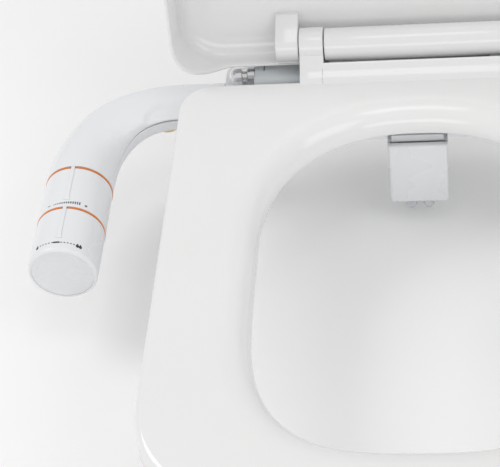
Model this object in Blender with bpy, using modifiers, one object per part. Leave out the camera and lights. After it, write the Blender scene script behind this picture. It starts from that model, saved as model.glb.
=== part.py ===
"""A toilet seat and wrap-over lid on one hinge bar, with a slim washing unit under them.

Metres, +Z up. The origin lies on the plane of the bowl's rim, midway between the two mounting bolts,
and the front of the seat is at -Y. The seat is down and the lid is open, which is how it stands at rest.
"""

import math

import bmesh
import bpy
from mathutils import Matrix, Vector

GAP = 0.0003  # left between pieces that touch
RUN = 0.0005  # clearance of a piece that turns or slides in another
WIDE = 0.5  # longer than anything, for searches and long cutters

# Hinge
BAR_RADIUS = 0.0128
HINGE_Z = BAR_RADIUS + 0.032
LID_OPEN = math.radians(103)
BAR_HALF_LENGTH = 0.0697
BAR_BORE = 0.0096
KNUCKLE_GAP = 0.0008
BOSS_RADIUS = BAR_RADIUS + 0.001
BOSS_WIDTH = 0.0185
LEG_RADIUS = 0.012
LEG_WIDTH = 0.0177
ROTOR_RADIUS = 0.004
BUSH_WALL = 0.0014
DAMPER_LENGTH = 0.048

# Seat ring
RING_HALF_WIDTH = 0.182
RING_BACK = -0.026
RING_FRONT = -0.434
RING_CORNER = 0.027
RING_FRONT_CURVE = 0.104  # depth of the curved front end
RING_UNDERSIDE = 0.010
RING_TOP = 0.032
RING_WALL = 0.003
OPENING_HALF_WIDTH = 0.1128
OPENING_BACK = -0.0694
OPENING_FRONT = -0.3741
OPENING_BACK_CURVE = 0.1226
OPENING_FRONT_CURVE = 0.1391
APRON_FRONT = 0.031  # the raised back of the seat starts this far in front of the hinge
BUMPER_RADIUS = 0.008

# Lid, in its closed position and measured from the hinge axis
LID_MARGIN = 0.0010  # between the lid's skirt and the ring inside it
LID_WALL = 0.0025
LID_BACK = BAR_RADIUS + 0.0035
LID_CORNER = 0.036
LID_FRONT_REACH = 0.0085  # how far the lid passes the ring's front
LID_TOP = BAR_RADIUS + 0.0067
LID_SLOPE = 0.052
LID_SKIRT = 0.033
LID_SHOULDER = 0.020
LID_RIM_RISE = 0.0315  # how much shallower the skirt is behind the hinge
HINGE_MOUTH_TOP = BAR_RADIUS - 0.0023  # the lid's back wall is cut away below this between the legs

# Mounting
BOLT_SPACING = 0.155
BOLT_RADIUS = 0.004
HEAD_POCKET = 0.0085
HEAD_SEAT = 0.014
RIM_THICKNESS = 0.030
DISC_RADIUS = 0.024
SLOT_LENGTH = 0.026
FOOT_HALF_DEPTH = 0.017
FOOT_TOP = 0.024
FOOT_INNER = 0.052
FOOT_OUTER = 0.1265
BUTTON_TRAVEL = 0.003

# Washing unit
BASE_LEFT = -0.152
BASE_RIGHT = 0.112
BASE_BACK = 0.026
BASE_FRONT = -0.062
BASE_FLOOR = 0.0016
BASE_WALL = 0.002
BASE_SPLIT = 0.006  # height of the parting line between plate and cover
BASE_HEIGHT = 0.008
HOSE_RADIUS = 0.0019
HOSE_SPACING = 0.009

# Control arm and its handle, whose axis runs along Y
HANDLE_X = -0.2605
HANDLE_Z = -0.0116
HANDLE_RADIUS = 0.026
HANDLE_WALL = 0.0026
ARM_WALL = 0.0018
ARM_ROOT_X = BASE_LEFT - GAP
ARM_BEND_X = -0.184
ARM_ROOT_Y = -0.016
ARM_ROOT_HALF_WIDTH = 0.020
ARM_ROOT_HALF_HEIGHT = 0.0042
ARM_ROOT_Z = 0.0044
ARM_KEEL = 0.0100  # how much deeper the arm is under its middle once it has passed the rim
ARM_END = -0.0968
PRESSURE_START = -0.0972
PRESSURE_LENGTH = 0.0433
MODE_LENGTH = 0.0448
ACCENT_WIDTH = 0.0018
ACCENT_DEPTH = 0.0017
INLET_STATION = 0.11  # how far round the arm's bend the water inlet is
INLET_OFFSET = 0.009  # from the arm's middle line towards its outer side
INLET_BORE = 0.0062
INLET_LENGTH = 0.0125
INLET_FLANGE = 0.0115
THREAD_RADIUS = 0.01048  # half-inch pipe thread

# Nozzles
NOZZLE_X = 0.007
NOZZLE_Y = -0.0520
NOZZLE_RADIUS = 0.0045
NOZZLE_REACH = 0.0187  # how far the resting tips hang below the block
NOZZLE_TRAVEL = 0.022
BLOCK_FRONT = -0.0678
BLOCK_BACK = -0.036
BLOCK_HALF_WIDTH = 0.0229
BLOCK_TOP = -0.0034
BLOCK_BOTTOM = -0.0633
GUARD_WALL = 0.0025
GUARD_DEPTH = 0.022
GUARD_ROUND = 0.0043  # radius of the guard's top edge about its pin
PIN_RADIUS = 0.0012
PIN_END = 0.0208
LUG_INNER, LUG_OUTER = 0.0168, 0.0196
COLLAR_RADIUS = 0.0056
MANIFOLD_HALF_WIDTH = 0.017
MANIFOLD_HALF_DEPTH = 0.0075
SPRING_WIRE = 0.0004
SPRING_TURNS = 7

FINE, COARSE = 36, 16  # sides of a large and a small turned piece
OUTLINE_CENTRE = -0.205
BARREL = Matrix.Rotation(math.pi / 2, 4, "Y")  # turned pieces that lie along X
FORWARD = Matrix.Rotation(math.pi / 2, 4, "X")  # turned pieces that lie along -Y
# Outlines drawn in (y, z) that are made solid along X
ALONG_X = Matrix(((0, 0, 1, 0), (1, 0, 0, 0), (0, 1, 0, 0), (0, 0, 0, 1)))


# ---------------------------------------------------------------- scene and materials

def clear_scene():
    for old in list(bpy.data.objects):
        bpy.data.objects.remove(old, do_unlink=True)


def new_collection(name):
    made = bpy.data.collections.new(name)
    bpy.context.scene.collection.children.link(made)
    return made


def material(name, colour, roughness, metallic=0.0, clear=0.0):
    made = bpy.data.materials.get(name)
    if made:
        return made
    made = bpy.data.materials.new(name)
    made.use_nodes = True
    shader = made.node_tree.nodes["Principled BSDF"]
    shader.inputs["Base Color"].default_value = (*colour, 1)
    shader.inputs["Roughness"].default_value = roughness
    shader.inputs["Metallic"].default_value = metallic
    shader.inputs["Transmission Weight"].default_value = clear
    made.diffuse_color = (*colour, 1)
    return made


def white_plastic():
    return material("white_plastic", (0.80, 0.80, 0.79), 0.18)


def arm_plastic():
    return material("arm_plastic", (0.78, 0.80, 0.82), 0.22)


def orange_plastic():
    return material("orange_plastic", (0.63, 0.16, 0.02), 0.35)


def pale_plastic():
    return material("pale_plastic", (0.70, 0.73, 0.75), 0.30)


def chrome():
    return material("chrome", (0.80, 0.82, 0.85), 0.08, metallic=1.0)


def steel():
    return material("steel", (0.52, 0.54, 0.57), 0.30, metallic=1.0)


def brass():
    return material("brass", (0.72, 0.52, 0.22), 0.28, metallic=1.0)


def rubber():
    return material("rubber", (0.72, 0.73, 0.74), 0.75)


def dark_rubber():
    return material("dark_rubber", (0.03, 0.03, 0.03), 0.70)


def clear_tube():
    return material("clear_tube", (0.85, 0.90, 0.93), 0.15, clear=0.5)


# ---------------------------------------------------------------- shapes

def place(name, mesh, look, collection=None):
    """Puts a mesh in the scene as an object with one material and smooth round faces."""
    made = bpy.data.objects.new(name, mesh)
    mesh.materials.clear()
    mesh.materials.append(look)
    (collection or PARTS).objects.link(made)
    mesh.shade_smooth()
    mesh.set_sharp_from_angle(angle=math.radians(40))
    return made


def box_mesh(low, high, bevel=0.0, segments=2):
    low, high = Vector(low), Vector(high)
    built = bmesh.new()
    bmesh.ops.create_cube(built, size=1)
    bmesh.ops.scale(built, vec=high - low, verts=built.verts)
    bmesh.ops.translate(built, vec=(low + high) / 2, verts=built.verts)
    if bevel:
        bmesh.ops.bevel(built, geom=built.edges[:], offset=bevel, segments=segments, profile=0.5,
                        affect="EDGES")
    mesh = bpy.data.meshes.new("box")
    built.to_mesh(mesh)
    built.free()
    return mesh


def box(name, low, high, look, bevel=0.0, collection=None):
    return place(name, box_mesh(low, high, bevel), look, collection)


def turned(name, profile, look, segments=FINE, turn=Matrix.Identity(4), at=(0, 0, 0), closed=False,
           collection=None):
    """Turns a profile of (radius, height) pairs about Z. A closed profile makes a ring or a tube."""
    mesh = bpy.data.meshes.new(name)
    count = len(profile)
    edges = [(i, i + 1) for i in range(count - 1)]
    if closed:
        edges.append((count - 1, 0))
    mesh.from_pydata([(radius, 0, height) for radius, height in profile], edges, [])
    made = place(name, mesh, look, collection)
    made.matrix_world = Matrix.Translation(at) @ turn
    screw = made.modifiers.new("Turn", "SCREW")
    screw.steps = screw.render_steps = segments
    screw.use_merge_vertices = True
    screw.merge_threshold = 0.00001
    screw.use_smooth_shade = True
    return made


def tube_profile(outer, inner, top, bottom, round_top=0.0, round_bottom=0.0):
    """A tube's closed profile, its outer side first, with chamfers of a given size on the outer edges."""
    return [
        (inner, top), (outer - round_top, top), (outer, top - round_top), (outer, bottom + round_bottom),
        (outer - round_bottom, bottom), (inner, bottom),
    ] if round_top and round_bottom else [(inner, top), (outer, top), (outer, bottom), (inner, bottom)]


def rod_profile(radius, top, bottom, chamfer=0.0004):
    return [
        (0, top), (radius - chamfer, top), (radius, top - chamfer), (radius, bottom + chamfer),
        (radius - chamfer, bottom), (0, bottom),
    ]


def plate_mesh(outline, low, high, turn=Matrix.Identity(4)):
    """A flat outline of (x, y) pairs made solid from one height to another, then turned."""
    curve = bpy.data.curves.new("outline", "CURVE")
    curve.dimensions = "2D"
    curve.fill_mode = "BOTH"
    curve.extrude = (high - low) / 2
    spline = curve.splines.new("POLY")
    spline.points.add(len(outline) - 1)
    for point, (x, y) in zip(spline.points, outline):
        point.co = (x, y, 0, 1)
    spline.use_cyclic_u = True
    return solid_mesh(curve, turn @ Matrix.Translation((0, 0, (low + high) / 2)))


def solid_mesh(curve, matrix=Matrix.Identity(4)):
    """The closed mesh of a curve, with its caps welded to its sides."""
    guide = bpy.data.objects.new("guide", curve)
    bpy.context.scene.collection.objects.link(guide)
    bpy.context.view_layer.update()
    mesh = bpy.data.meshes.new_from_object(guide.evaluated_get(bpy.context.evaluated_depsgraph_get()))
    bpy.data.objects.remove(guide, do_unlink=True)
    built = bmesh.new()
    built.from_mesh(mesh)
    bmesh.ops.remove_doubles(built, verts=built.verts, dist=0.00001)
    bmesh.ops.recalc_face_normals(built, faces=built.faces)
    built.to_mesh(mesh)
    built.free()
    mesh.transform(matrix)
    return mesh


def loft_mesh(sections, around=False):
    """Skins closed rings of points in order, back to the first if around is set, and else with end faces."""
    built = bmesh.new()
    rings = [[built.verts.new(point) for point in section] for section in sections]
    pairs = list(zip(rings, rings[1:])) + ([(rings[-1], rings[0])] if around else [])
    for near, far in pairs:
        for i in range(len(near)):
            j = (i + 1) % len(near)
            built.faces.new((near[i], near[j], far[j], far[i]))
    if not around:
        built.faces.new(rings[0][::-1])
        built.faces.new(rings[-1])
    bmesh.ops.recalc_face_normals(built, faces=built.faces)
    mesh = bpy.data.meshes.new("loft")
    built.to_mesh(mesh)
    built.free()
    return mesh


def boolean(target, operation, *others):
    for other in others:
        if other.name not in CUTTERS.objects:
            for home in list(other.users_collection):
                home.objects.unlink(other)
            CUTTERS.objects.link(other)
        other.hide_render = True
        other.display_type = "WIRE"
        modifier = target.modifiers.new(operation.title(), "BOOLEAN")
        modifier.operation = operation
        modifier.solver = "EXACT"
        modifier.object = other
    return target


def cut(target, *cutters):
    return boolean(target, "DIFFERENCE", *cutters)


def fuse(target, *others):
    return boolean(target, "UNION", *others)


def cut_rod(name, radius, top, bottom, turn=Matrix.Identity(4), at=(0, 0, 0), segments=COARSE):
    profile = [(0, top), (radius, top), (radius, bottom), (0, bottom)]
    return turned(name, profile, pale_plastic(), segments, turn, at, collection=CUTTERS)


def cut_stepped(name, radius, small, top, step, bottom, at):
    """A cutter for a bore that narrows at a step."""
    profile = [(0, top), (radius, top), (radius, step), (small, step), (small, bottom), (0, bottom)]
    return turned(name, profile, pale_plastic(), COARSE, at=at, collection=CUTTERS)


def cut_box(name, low, high):
    return box(name, low, high, pale_plastic(), collection=CUTTERS)


def pivot(made, point):
    """Moves an object's origin to a point of its joint's axis and leaves its shape where it is."""
    made.data.transform(Matrix.Translation(-Vector(point)))
    made.location = Vector(point)
    return made


def hang(child, parent):
    """Parents an object whose place is already given in its parent's frame."""
    child.parent = parent
    return child


def smooth(value):
    value = min(max(value, 0.0), 1.0)
    return value * value * (3 - 2 * value)


def arc(radius, start, end, steps, centre=(0.0, 0.0)):
    """Points of an arc from one angle in degrees to another."""
    angles = [math.radians(start + (end - start) * i / steps) for i in range(steps + 1)]
    return [(centre[0] + radius * math.cos(a), centre[1] + radius * math.sin(a)) for a in angles]


# ---------------------------------------------------------------- outlines of the ring and the lid

def inside_outer(x, y, half_width, back, front, corner, curve, power=2.8):
    """Whether a point lies in an outline with a square back, round corners and a curved front."""
    x = abs(x)
    if y > back or x > half_width:
        return False
    if y < front + curve:
        return (x / half_width) ** power + ((front + curve - y) / curve) ** power < 1
    over_x, over_y = x - (half_width - corner), y - (back - corner)
    return over_x < 0 or over_y < 0 or math.hypot(over_x, over_y) < corner


def inside_ring(inset):
    corner = max(RING_CORNER - inset, 0.004)
    return lambda x, y: inside_outer(x, y, RING_HALF_WIDTH - inset, RING_BACK - inset, RING_FRONT + inset,
                                     corner, RING_FRONT_CURVE)


def inside_lid(inset):
    half_width = RING_HALF_WIDTH + LID_MARGIN + LID_WALL - inset
    corner = max(LID_CORNER - inset, 0.004)
    return lambda x, y: inside_outer(x, y, half_width, LID_BACK - inset, RING_FRONT - LID_FRONT_REACH + inset,
                                     corner, RING_FRONT_CURVE)


def inside_opening(grow):
    """The opening: round at the back, straight along its sides and squarer at the front."""
    half_width = OPENING_HALF_WIDTH + grow
    wide_back = OPENING_BACK - OPENING_BACK_CURVE
    wide_front = OPENING_FRONT + OPENING_FRONT_CURVE

    def inside(x, y):
        x = abs(x) / half_width
        if y > wide_back:
            return x ** 2.25 + ((y - wide_back) / (OPENING_BACK_CURVE + grow)) ** 2.25 < 1
        if y < wide_front:
            return x ** 3.1 + ((wide_front - y) / (OPENING_FRONT_CURVE + grow)) ** 3.1 < 1
        return x < 1

    return inside


def reach(inside, angle):
    """How far the outline lies from the outlines' common centre in one direction."""
    near, far = 0.0, WIDE
    for _ in range(36):
        middle = (near + far) / 2
        if inside(middle * math.cos(angle), OUTLINE_CENTRE + middle * math.sin(angle)):
            near = middle
        else:
            far = middle
    return near


def outline_angles(corner_x, corner_y):
    """Even directions round the outline, with closer ones across the two back corners."""
    corner = math.atan2(corner_y - OUTLINE_CENTRE, corner_x)
    half = [-math.pi / 2 + math.radians(6) * i for i in range(30)]
    half = [a for a in half if abs(a - corner) > math.radians(6.5)]
    half += [corner + math.radians(2.2) * i for i in range(-3, 4)]
    half = sorted(a for a in half if -math.pi / 2 < a < math.pi / 2)
    mirrored = [math.pi - a for a in reversed(half)]
    return [-math.pi / 2] + half + [math.pi / 2] + mirrored


def outline(inside, angles):
    reaches = [reach(inside, angle) for angle in angles]
    return [(r * math.cos(a), OUTLINE_CENTRE + r * math.sin(a)) for r, a in zip(reaches, angles)]


# ---------------------------------------------------------------- seat

def ring_sections():
    """Levels round the hollow section, up the outside, over the top and back underneath."""
    top, under = RING_TOP, RING_UNDERSIDE
    wall = RING_WALL
    outer = [(0, under), (0, top - 0.0045), (0.0012, top - 0.0012), (0.0045, top)]
    inner = [(0.024, top), (0.013, top - 0.0016), (0.005, top - 0.006), (0.001, top - 0.013),
             (0, under + 0.002)]
    inner_back = [(wall, under + 0.002), (0.0042, top - 0.014), (0.008, top - 0.008), (0.024, top - wall)]
    outer_back = [(0.0048, top - wall), (wall, top - 0.006), (wall, under)]
    return (
        [(inside_ring(inset), z) for inset, z in outer]
        + [(inside_opening(grow), z) for grow, z in inner + inner_back]
        + [(inside_ring(inset), z) for inset, z in outer_back]
    )


def make_seat_ring():
    """The ring, hollow underneath, with the raised back and the two bosses that turn on the hinge."""
    angles = outline_angles(RING_HALF_WIDTH, RING_BACK)
    levels = [[(x, y, z) for x, y in outline(inside, angles)] for inside, z in ring_sections()]
    sections = [[level[i] for level in levels] for i in range(len(angles))]
    ring = place("seat_ring", loft_mesh(sections, around=True), white_plastic())
    crease = RING_TOP - HINGE_Z
    floor = FOOT_TOP + 0.0015 - HINGE_Z
    rise = [(-APRON_FRONT, floor), (-APRON_FRONT, crease), (-APRON_FRONT + 0.007, crease + 0.0035)]
    boss = rise + arc(BOSS_RADIUS, 185, -75, 18) + [(-BOSS_RADIUS, floor)]
    clear = BAR_RADIUS + 0.0017
    apron = rise + [(-clear - 0.001, crease + 0.0087), (-clear, crease + 0.0082), (-clear, floor)]
    across = Matrix.Translation((0, 0, HINGE_Z)) @ ALONG_X
    inner = BAR_HALF_LENGTH + KNUCKLE_GAP
    for side, low in (("left", -inner - BOSS_WIDTH), ("right", inner)):
        made = place(f"boss_{side}", plate_mesh(boss, low, low + BOSS_WIDTH, across), white_plastic())
        bore = ROTOR_RADIUS + RUN + (BUSH_WALL + GAP if side == "left" else 0)
        cutter = cut_rod(f"boss_bore_{side}", bore, low + BOSS_WIDTH + 0.01, low - 0.01, BARREL,
                         (0, 0, HINGE_Z))
        fuse(ring, made)
        cut(ring, cutter)
    fuse(ring, place("apron", plate_mesh(apron, -inner - 0.001, inner + 0.001, across), white_plastic()))
    return pivot(ring, (0, 0, HINGE_Z))


def make_seat_bumpers():
    ceiling = RING_TOP - RING_WALL - GAP
    profile = [(0, ceiling), (0.004, ceiling), (0.004, RING_UNDERSIDE + 0.002),
               (BUMPER_RADIUS, RING_UNDERSIDE),
               (BUMPER_RADIUS, GAP + 0.001), (BUMPER_RADIUS - 0.001, GAP), (0, GAP)]
    back_y, front_y = RING_BACK - 0.049, RING_FRONT + 0.042
    places = {"back": (RING_HALF_WIDTH - 0.034, back_y), "front": (0.100, front_y)}
    for end, (x, y) in places.items():
        for side, sign in (("left", -1), ("right", 1)):
            turned(f"seat_bumper_{end}_{side}", profile, rubber(), COARSE, at=(sign * x, y, 0))


# ---------------------------------------------------------------- lid

def lid_top(y):
    return LID_TOP + LID_SLOPE * y


def lid_rim(x, y):
    """Height of the skirt's rim, which rises round the back corners to clear the hinge."""
    back = smooth((y + 0.060) / 0.040)
    return LID_RIM_RISE * back * smooth((RING_HALF_WIDTH + 0.002 - abs(x)) / 0.042) - LID_SKIRT


def lid_sections():
    """(inset, depth under the panel) outside and inside. No depth marks the rim."""
    outside = [(0, None), (0, 0.014), (0.0025, 0.0065), (0.008, 0.002), (LID_SHOULDER, 0)]
    inside = [(LID_SHOULDER + 0.001, LID_WALL), (0.0105, 0.0048), (0.0055, 0.0090), (LID_WALL, 0.0155),
              (LID_WALL, None)]
    return outside, inside


def lid_rings(angles, sections):
    rings = []
    for inset, depth in sections:
        points = outline(inside_lid(inset), angles)
        rings.append([(x, y, lid_rim(x, y) if depth is None else lid_top(y) - depth) for x, y in points])
    return rings


def lid_shell_mesh():
    """The lid as one thick shell: its outer skin, its inner skin and the rim between them."""
    angles = outline_angles(RING_HALF_WIDTH, LID_BACK)
    outside, inside = lid_sections()
    rings = lid_rings(angles, outside[::-1]) + lid_rings(angles, inside[::-1])
    return loft_mesh(rings)


def make_lid_shell(pivot_empty):
    """The lid, modelled closed about the hinge axis, with a leg on each side of the seat's bosses."""
    lid = place("lid_shell", lid_shell_mesh(), white_plastic())
    root = LID_TOP - 0.0016
    leg = [(-0.022, 0.010), (-0.022, root - 0.022 * LID_SLOPE), (0.004, root), (0.0118, 0.0125),
           (LID_BACK - 0.0016, 0.004), (LID_BACK - 0.0016, -0.0012), (0.012, -0.006)]
    leg += arc(LEG_RADIUS, -30, -130, 8)
    inner = BAR_HALF_LENGTH + 2 * KNUCKLE_GAP + BOSS_WIDTH
    mouth = inner - KNUCKLE_GAP / 2
    gap = cut_box("hinge_mouth", (-mouth, 0.003, -WIDE), (mouth, WIDE, HINGE_MOUTH_TOP))
    cut(lid, hang(gap, pivot_empty))
    for side, low in (("left", -inner - LEG_WIDTH), ("right", inner)):
        made = place(f"leg_{side}", plate_mesh(leg, low, low + LEG_WIDTH, ALONG_X), white_plastic())
        bore = ROTOR_RADIUS + RUN + (BUSH_WALL + GAP if side == "right" else 0)
        cutter = cut_rod(f"leg_bore_{side}", bore, low + LEG_WIDTH + 0.01, low - 0.01, BARREL)
        hang(made, pivot_empty)
        hang(cutter, pivot_empty)
        fuse(lid, made)
        cut(lid, cutter)
    return hang(lid, pivot_empty)


def make_lid_bumpers(pivot_empty):
    x, y = 0.120, RING_FRONT + 0.094
    ceiling = lid_top(y) - LID_WALL - 0.0009
    floor = RING_TOP - HINGE_Z + GAP
    profile = [(0, ceiling), (0.0075, ceiling), (0.006, floor + 0.001), (0.005, floor), (0, floor)]
    for side, sign in (("left", -1), ("right", 1)):
        hang(turned(f"lid_bumper_{side}", profile, rubber(), COARSE, at=(sign * x, y, 0)), pivot_empty)


# ---------------------------------------------------------------- hinge

def make_hinge_bar():
    """The fixed bar between the bosses. It holds both dampers, and a web closes it in the middle."""
    half, web = BAR_HALF_LENGTH, 0.010
    right_end = [(0, web), (BAR_BORE, web), (BAR_BORE, half), (BAR_RADIUS - 0.001, half),
                 (BAR_RADIUS, half - 0.001)]
    profile = right_end + [(radius, -along) for radius, along in right_end[::-1]]
    turned("hinge_bar", profile, white_plastic(), FINE, BARREL, (0, 0, HINGE_Z))


def make_dampers(pivot_empty):
    """A rotary damper in each end of the bar: the lid's rotor on the left, the seat's on the right."""
    end = BAR_HALF_LENGTH - 0.001
    reach_seat = BAR_HALF_LENGTH + 2 * KNUCKLE_GAP + BOSS_WIDTH + LEG_WIDTH - 0.002
    body = tube_profile(BAR_BORE - GAP, ROTOR_RADIUS + RUN, end, end - DAMPER_LENGTH, 0.0005, 0.0005)
    rotor = rod_profile(ROTOR_RADIUS, reach_seat, end - DAMPER_LENGTH + 0.004)
    flip = Matrix.Rotation(math.pi, 4, "Z")
    for name, side in (("lid", flip), ("seat", Matrix.Identity(4))):
        turned(f"{name}_damper_body", body, pale_plastic(), COARSE, side @ BARREL, (0, 0, HINGE_Z),
               closed=True)
    hang(turned("lid_damper_rotor", rotor, steel(), COARSE, flip @ BARREL), pivot_empty)
    turned("seat_damper_rotor", rotor, steel(), COARSE, BARREL, (0, 0, HINGE_Z))


def make_bushes(pivot_empty):
    """Plain bushes where a rotor runs through a piece that it doesn't turn."""
    inner, outer = ROTOR_RADIUS + RUN, ROTOR_RADIUS + RUN + BUSH_WALL
    start = BAR_HALF_LENGTH + KNUCKLE_GAP
    seat_bush = tube_profile(outer, inner, -start - 0.0005, -start - BOSS_WIDTH + 0.0005)
    turned("seat_bush", seat_bush, pale_plastic(), COARSE, BARREL, (0, 0, HINGE_Z), closed=True)
    start += BOSS_WIDTH + KNUCKLE_GAP
    lid_bush = tube_profile(outer, inner, start + LEG_WIDTH - 0.0005, start + 0.0005)
    hang(turned("lid_bush", lid_bush, pale_plastic(), COARSE, BARREL, closed=True), pivot_empty)


def make_feet():
    """The two feet under the bar, each with a pocket for its bolt and a socket for its release button."""
    low_z = BASE_HEIGHT + GAP
    bolt_x = BOLT_SPACING / 2
    centre_z = (low_z + FOOT_TOP) / 2
    for side, sign in (("left", -1), ("right", 1)):
        xs = sorted((sign * FOOT_INNER, sign * FOOT_OUTER))
        neck = sorted((sign * (FOOT_INNER + 0.004), sign * min(bolt_x - 0.0093, BAR_HALF_LENGTH - 0.0015)))
        foot = box(f"hinge_foot_{side}", (xs[0], -FOOT_HALF_DEPTH, low_z), (xs[1], FOOT_HALF_DEPTH, FOOT_TOP),
                   pale_plastic(), 0.0035)
        fuse(foot, box(f"neck_{side}", (neck[0], -0.009, FOOT_TOP - 0.004), (neck[1], 0.003, HINGE_Z - 0.007),
                       pale_plastic()))
        cradle = cut_rod(f"cradle_{side}", BAR_RADIUS + GAP, xs[1] + 0.01, xs[0] - 0.01, BARREL,
                         (0, 0, HINGE_Z), FINE)
        pocket = cut_stepped(f"pocket_{side}", HEAD_POCKET, BOLT_RADIUS + RUN, FOOT_TOP + 0.02,
                             HEAD_SEAT, -0.01,
                             (sign * bolt_x, 0, 0))
        socket_ends = sorted((sign * (FOOT_OUTER + 0.01), sign * (FOOT_OUTER - 0.021)))
        socket = cut_rod(f"socket_{side}", 0.005 + RUN, socket_ends[1], socket_ends[0], BARREL,
                         (0, 0, centre_z))
        cut(foot, cradle, pocket, socket)
        outward = Matrix.Rotation(0 if sign > 0 else math.pi, 4, "Z") @ BARREL
        collar = tube_profile(0.0072, 0.005 + RUN, FOOT_OUTER + 0.0065, FOOT_OUTER + GAP, 0.0006, 0.0003)
        turned(f"release_collar_{side}", collar, steel(), COARSE, outward, (0, 0, centre_z), closed=True)
        dome_back = FOOT_OUTER + 0.0065 + BUTTON_TRAVEL + 0.0006
        dome = [(0, dome_back + 0.011)] + [
            (0.0073 * math.sin(math.radians(a)), dome_back + 0.003 + 0.008 * math.cos(math.radians(a)))
            for a in (15, 30, 45, 60, 75, 90)
        ]
        dome += [(0.0073, dome_back), (0.005, dome_back), (0.005, FOOT_OUTER - 0.017),
                 (0, FOOT_OUTER - 0.017)]
        turned(f"release_button_{side}", dome, chrome(), COARSE, outward, (0, 0, centre_z))


def wing_nut_mesh(top):
    """A hub with two ears, as one outline turned into a solid."""
    hub, ear, half = 0.0085, 0.019, 0.0022
    outline_points = arc(hub, 18, 162, 8) + [(-ear, half), (-ear, -half)] + arc(hub, 198, 342, 8)
    outline_points += [(ear, -half), (ear, half)]
    return plate_mesh(outline_points, top - 0.011, top)


def make_mounting_hardware():
    bolt_x = BOLT_SPACING / 2
    washer_top = -RIM_THICKNESS
    for side, sign in (("left", -1), ("right", 1)):
        at = (sign * bolt_x, 0, 0)
        head_low = HEAD_SEAT + GAP
        bolt = [(0, head_low + 0.005), (0.0062, head_low + 0.005), (0.0075, head_low + 0.004),
                (0.0075, head_low),
                (BOLT_RADIUS, head_low), (BOLT_RADIUS, -0.059), (BOLT_RADIUS - 0.001, -0.060), (0, -0.060)]
        turned(f"mounting_bolt_{side}", bolt, steel(), COARSE, at=at)
        disc = turned(f"adjuster_disc_{side}", rod_profile(DISC_RADIUS, BASE_HEIGHT - GAP, GAP), steel(),
                      FINE, at=at)
        slot = cut_box(f"slot_{side}", (at[0] - BOLT_RADIUS - RUN, -SLOT_LENGTH / 2, -0.01),
                       (at[0] + BOLT_RADIUS + RUN, SLOT_LENGTH / 2, 0.02))
        cut(disc, slot)
        washer = tube_profile(0.014, BOLT_RADIUS + RUN, washer_top, washer_top - 0.004, 0.0006, 0.0006)
        turned(f"rubber_washer_{side}", washer, dark_rubber(), COARSE, at=at, closed=True)
        nut = place(f"wing_nut_{side}", wing_nut_mesh(washer_top - 0.004 - GAP), pale_plastic())
        nut.location = at
        cut(nut, cut_rod(f"nut_bore_{side}", BOLT_RADIUS + RUN, 0, -0.1, at=at))


# ---------------------------------------------------------------- washing unit: plate and cover

def base_outline(inset):
    left, right = BASE_LEFT + inset, BASE_RIGHT - inset
    back, front = BASE_BACK - inset, BASE_FRONT + inset
    corner = 0.012
    corners = [(right - corner, back - corner, 0), (left + corner, back - corner, 90),
               (left + corner, front + corner, 180), (right - corner, front + corner, 270)]
    return [point for x, y, start in corners for point in arc(corner, start, start + 90, 5, (x, y))]


def disc_holes(tag, radius):
    return [cut_rod(f"{tag}_{side}", radius, 0.02, -0.02, at=(sign * BOLT_SPACING / 2, 0, 0), segments=FINE)
            for side, sign in (("left", -1), ("right", 1))]


def hose_channel():
    """The opening in the plate's left wall where the control arm's hoses come in."""
    return cut_box("hose_channel", (BASE_LEFT - 0.01, ARM_ROOT_Y - 0.017, BASE_FLOOR),
                   (BASE_LEFT + 0.01, ARM_ROOT_Y + 0.011, BASE_SPLIT + 0.01))


def make_base_plate():
    """The tray that lies on the rim, open on top, with a wall round each adjuster disc."""
    plate = place("base_plate", plate_mesh(base_outline(0), 0, BASE_SPLIT), arm_plastic())
    pocket = place("base_pocket", plate_mesh(base_outline(BASE_WALL), BASE_FLOOR, BASE_SPLIT + 0.01),
                   pale_plastic(), CUTTERS)
    cut(pocket, *disc_holes("disc_wall", DISC_RADIUS + RUN + BASE_WALL))
    notch = cut_box("nozzle_notch", (-BLOCK_HALF_WIDTH - GAP, BASE_FRONT - 0.01, -0.01),
                    (BLOCK_HALF_WIDTH + GAP, BLOCK_BACK + GAP, BASE_SPLIT + 0.01))
    cut(plate, pocket, *disc_holes("plate_hole", DISC_RADIUS + RUN), notch, hose_channel())


def make_base_cover():
    cover = place("base_cover", plate_mesh(base_outline(0), BASE_SPLIT + GAP, BASE_HEIGHT), arm_plastic())
    cut(cover, *disc_holes("cover_hole", DISC_RADIUS + RUN))
    for tag, (x, y) in {"left": (-0.135, 0.014), "right": (0.030, 0.014)}.items():
        turned(f"cover_screw_{tag}", rod_profile(0.0022, BASE_HEIGHT - 0.0005, BASE_FLOOR + GAP),
               steel(), COARSE, at=(x, y, 0))
        cut(cover, cut_rod(f"screw_hole_{tag}", 0.0022 + GAP, 0.02, 0.0, at=(x, y, 0)))


# ---------------------------------------------------------------- washing unit: control arm

def arm_path(t):
    """Centre and direction of the arm: straight out of the plate, round a bend, to the handle's axis."""
    start, end = Vector((ARM_BEND_X, ARM_ROOT_Y)), Vector((HANDLE_X, ARM_END))
    near = start + Vector((-0.052, 0))
    far = Vector((HANDLE_X, ARM_END + 0.049))
    if t < 0:
        root = Vector((ARM_ROOT_X, ARM_ROOT_Y))
        return start.lerp(root, -t), Vector((-1, 0))
    u = 1 - t
    point = u ** 3 * start + 3 * u * u * t * near + 3 * u * t * t * far + t ** 3 * end
    way = 3 * u * u * (near - start) + 6 * u * t * (far - near) + 3 * t * t * (end - far)
    return point, way.normalized()


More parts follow.
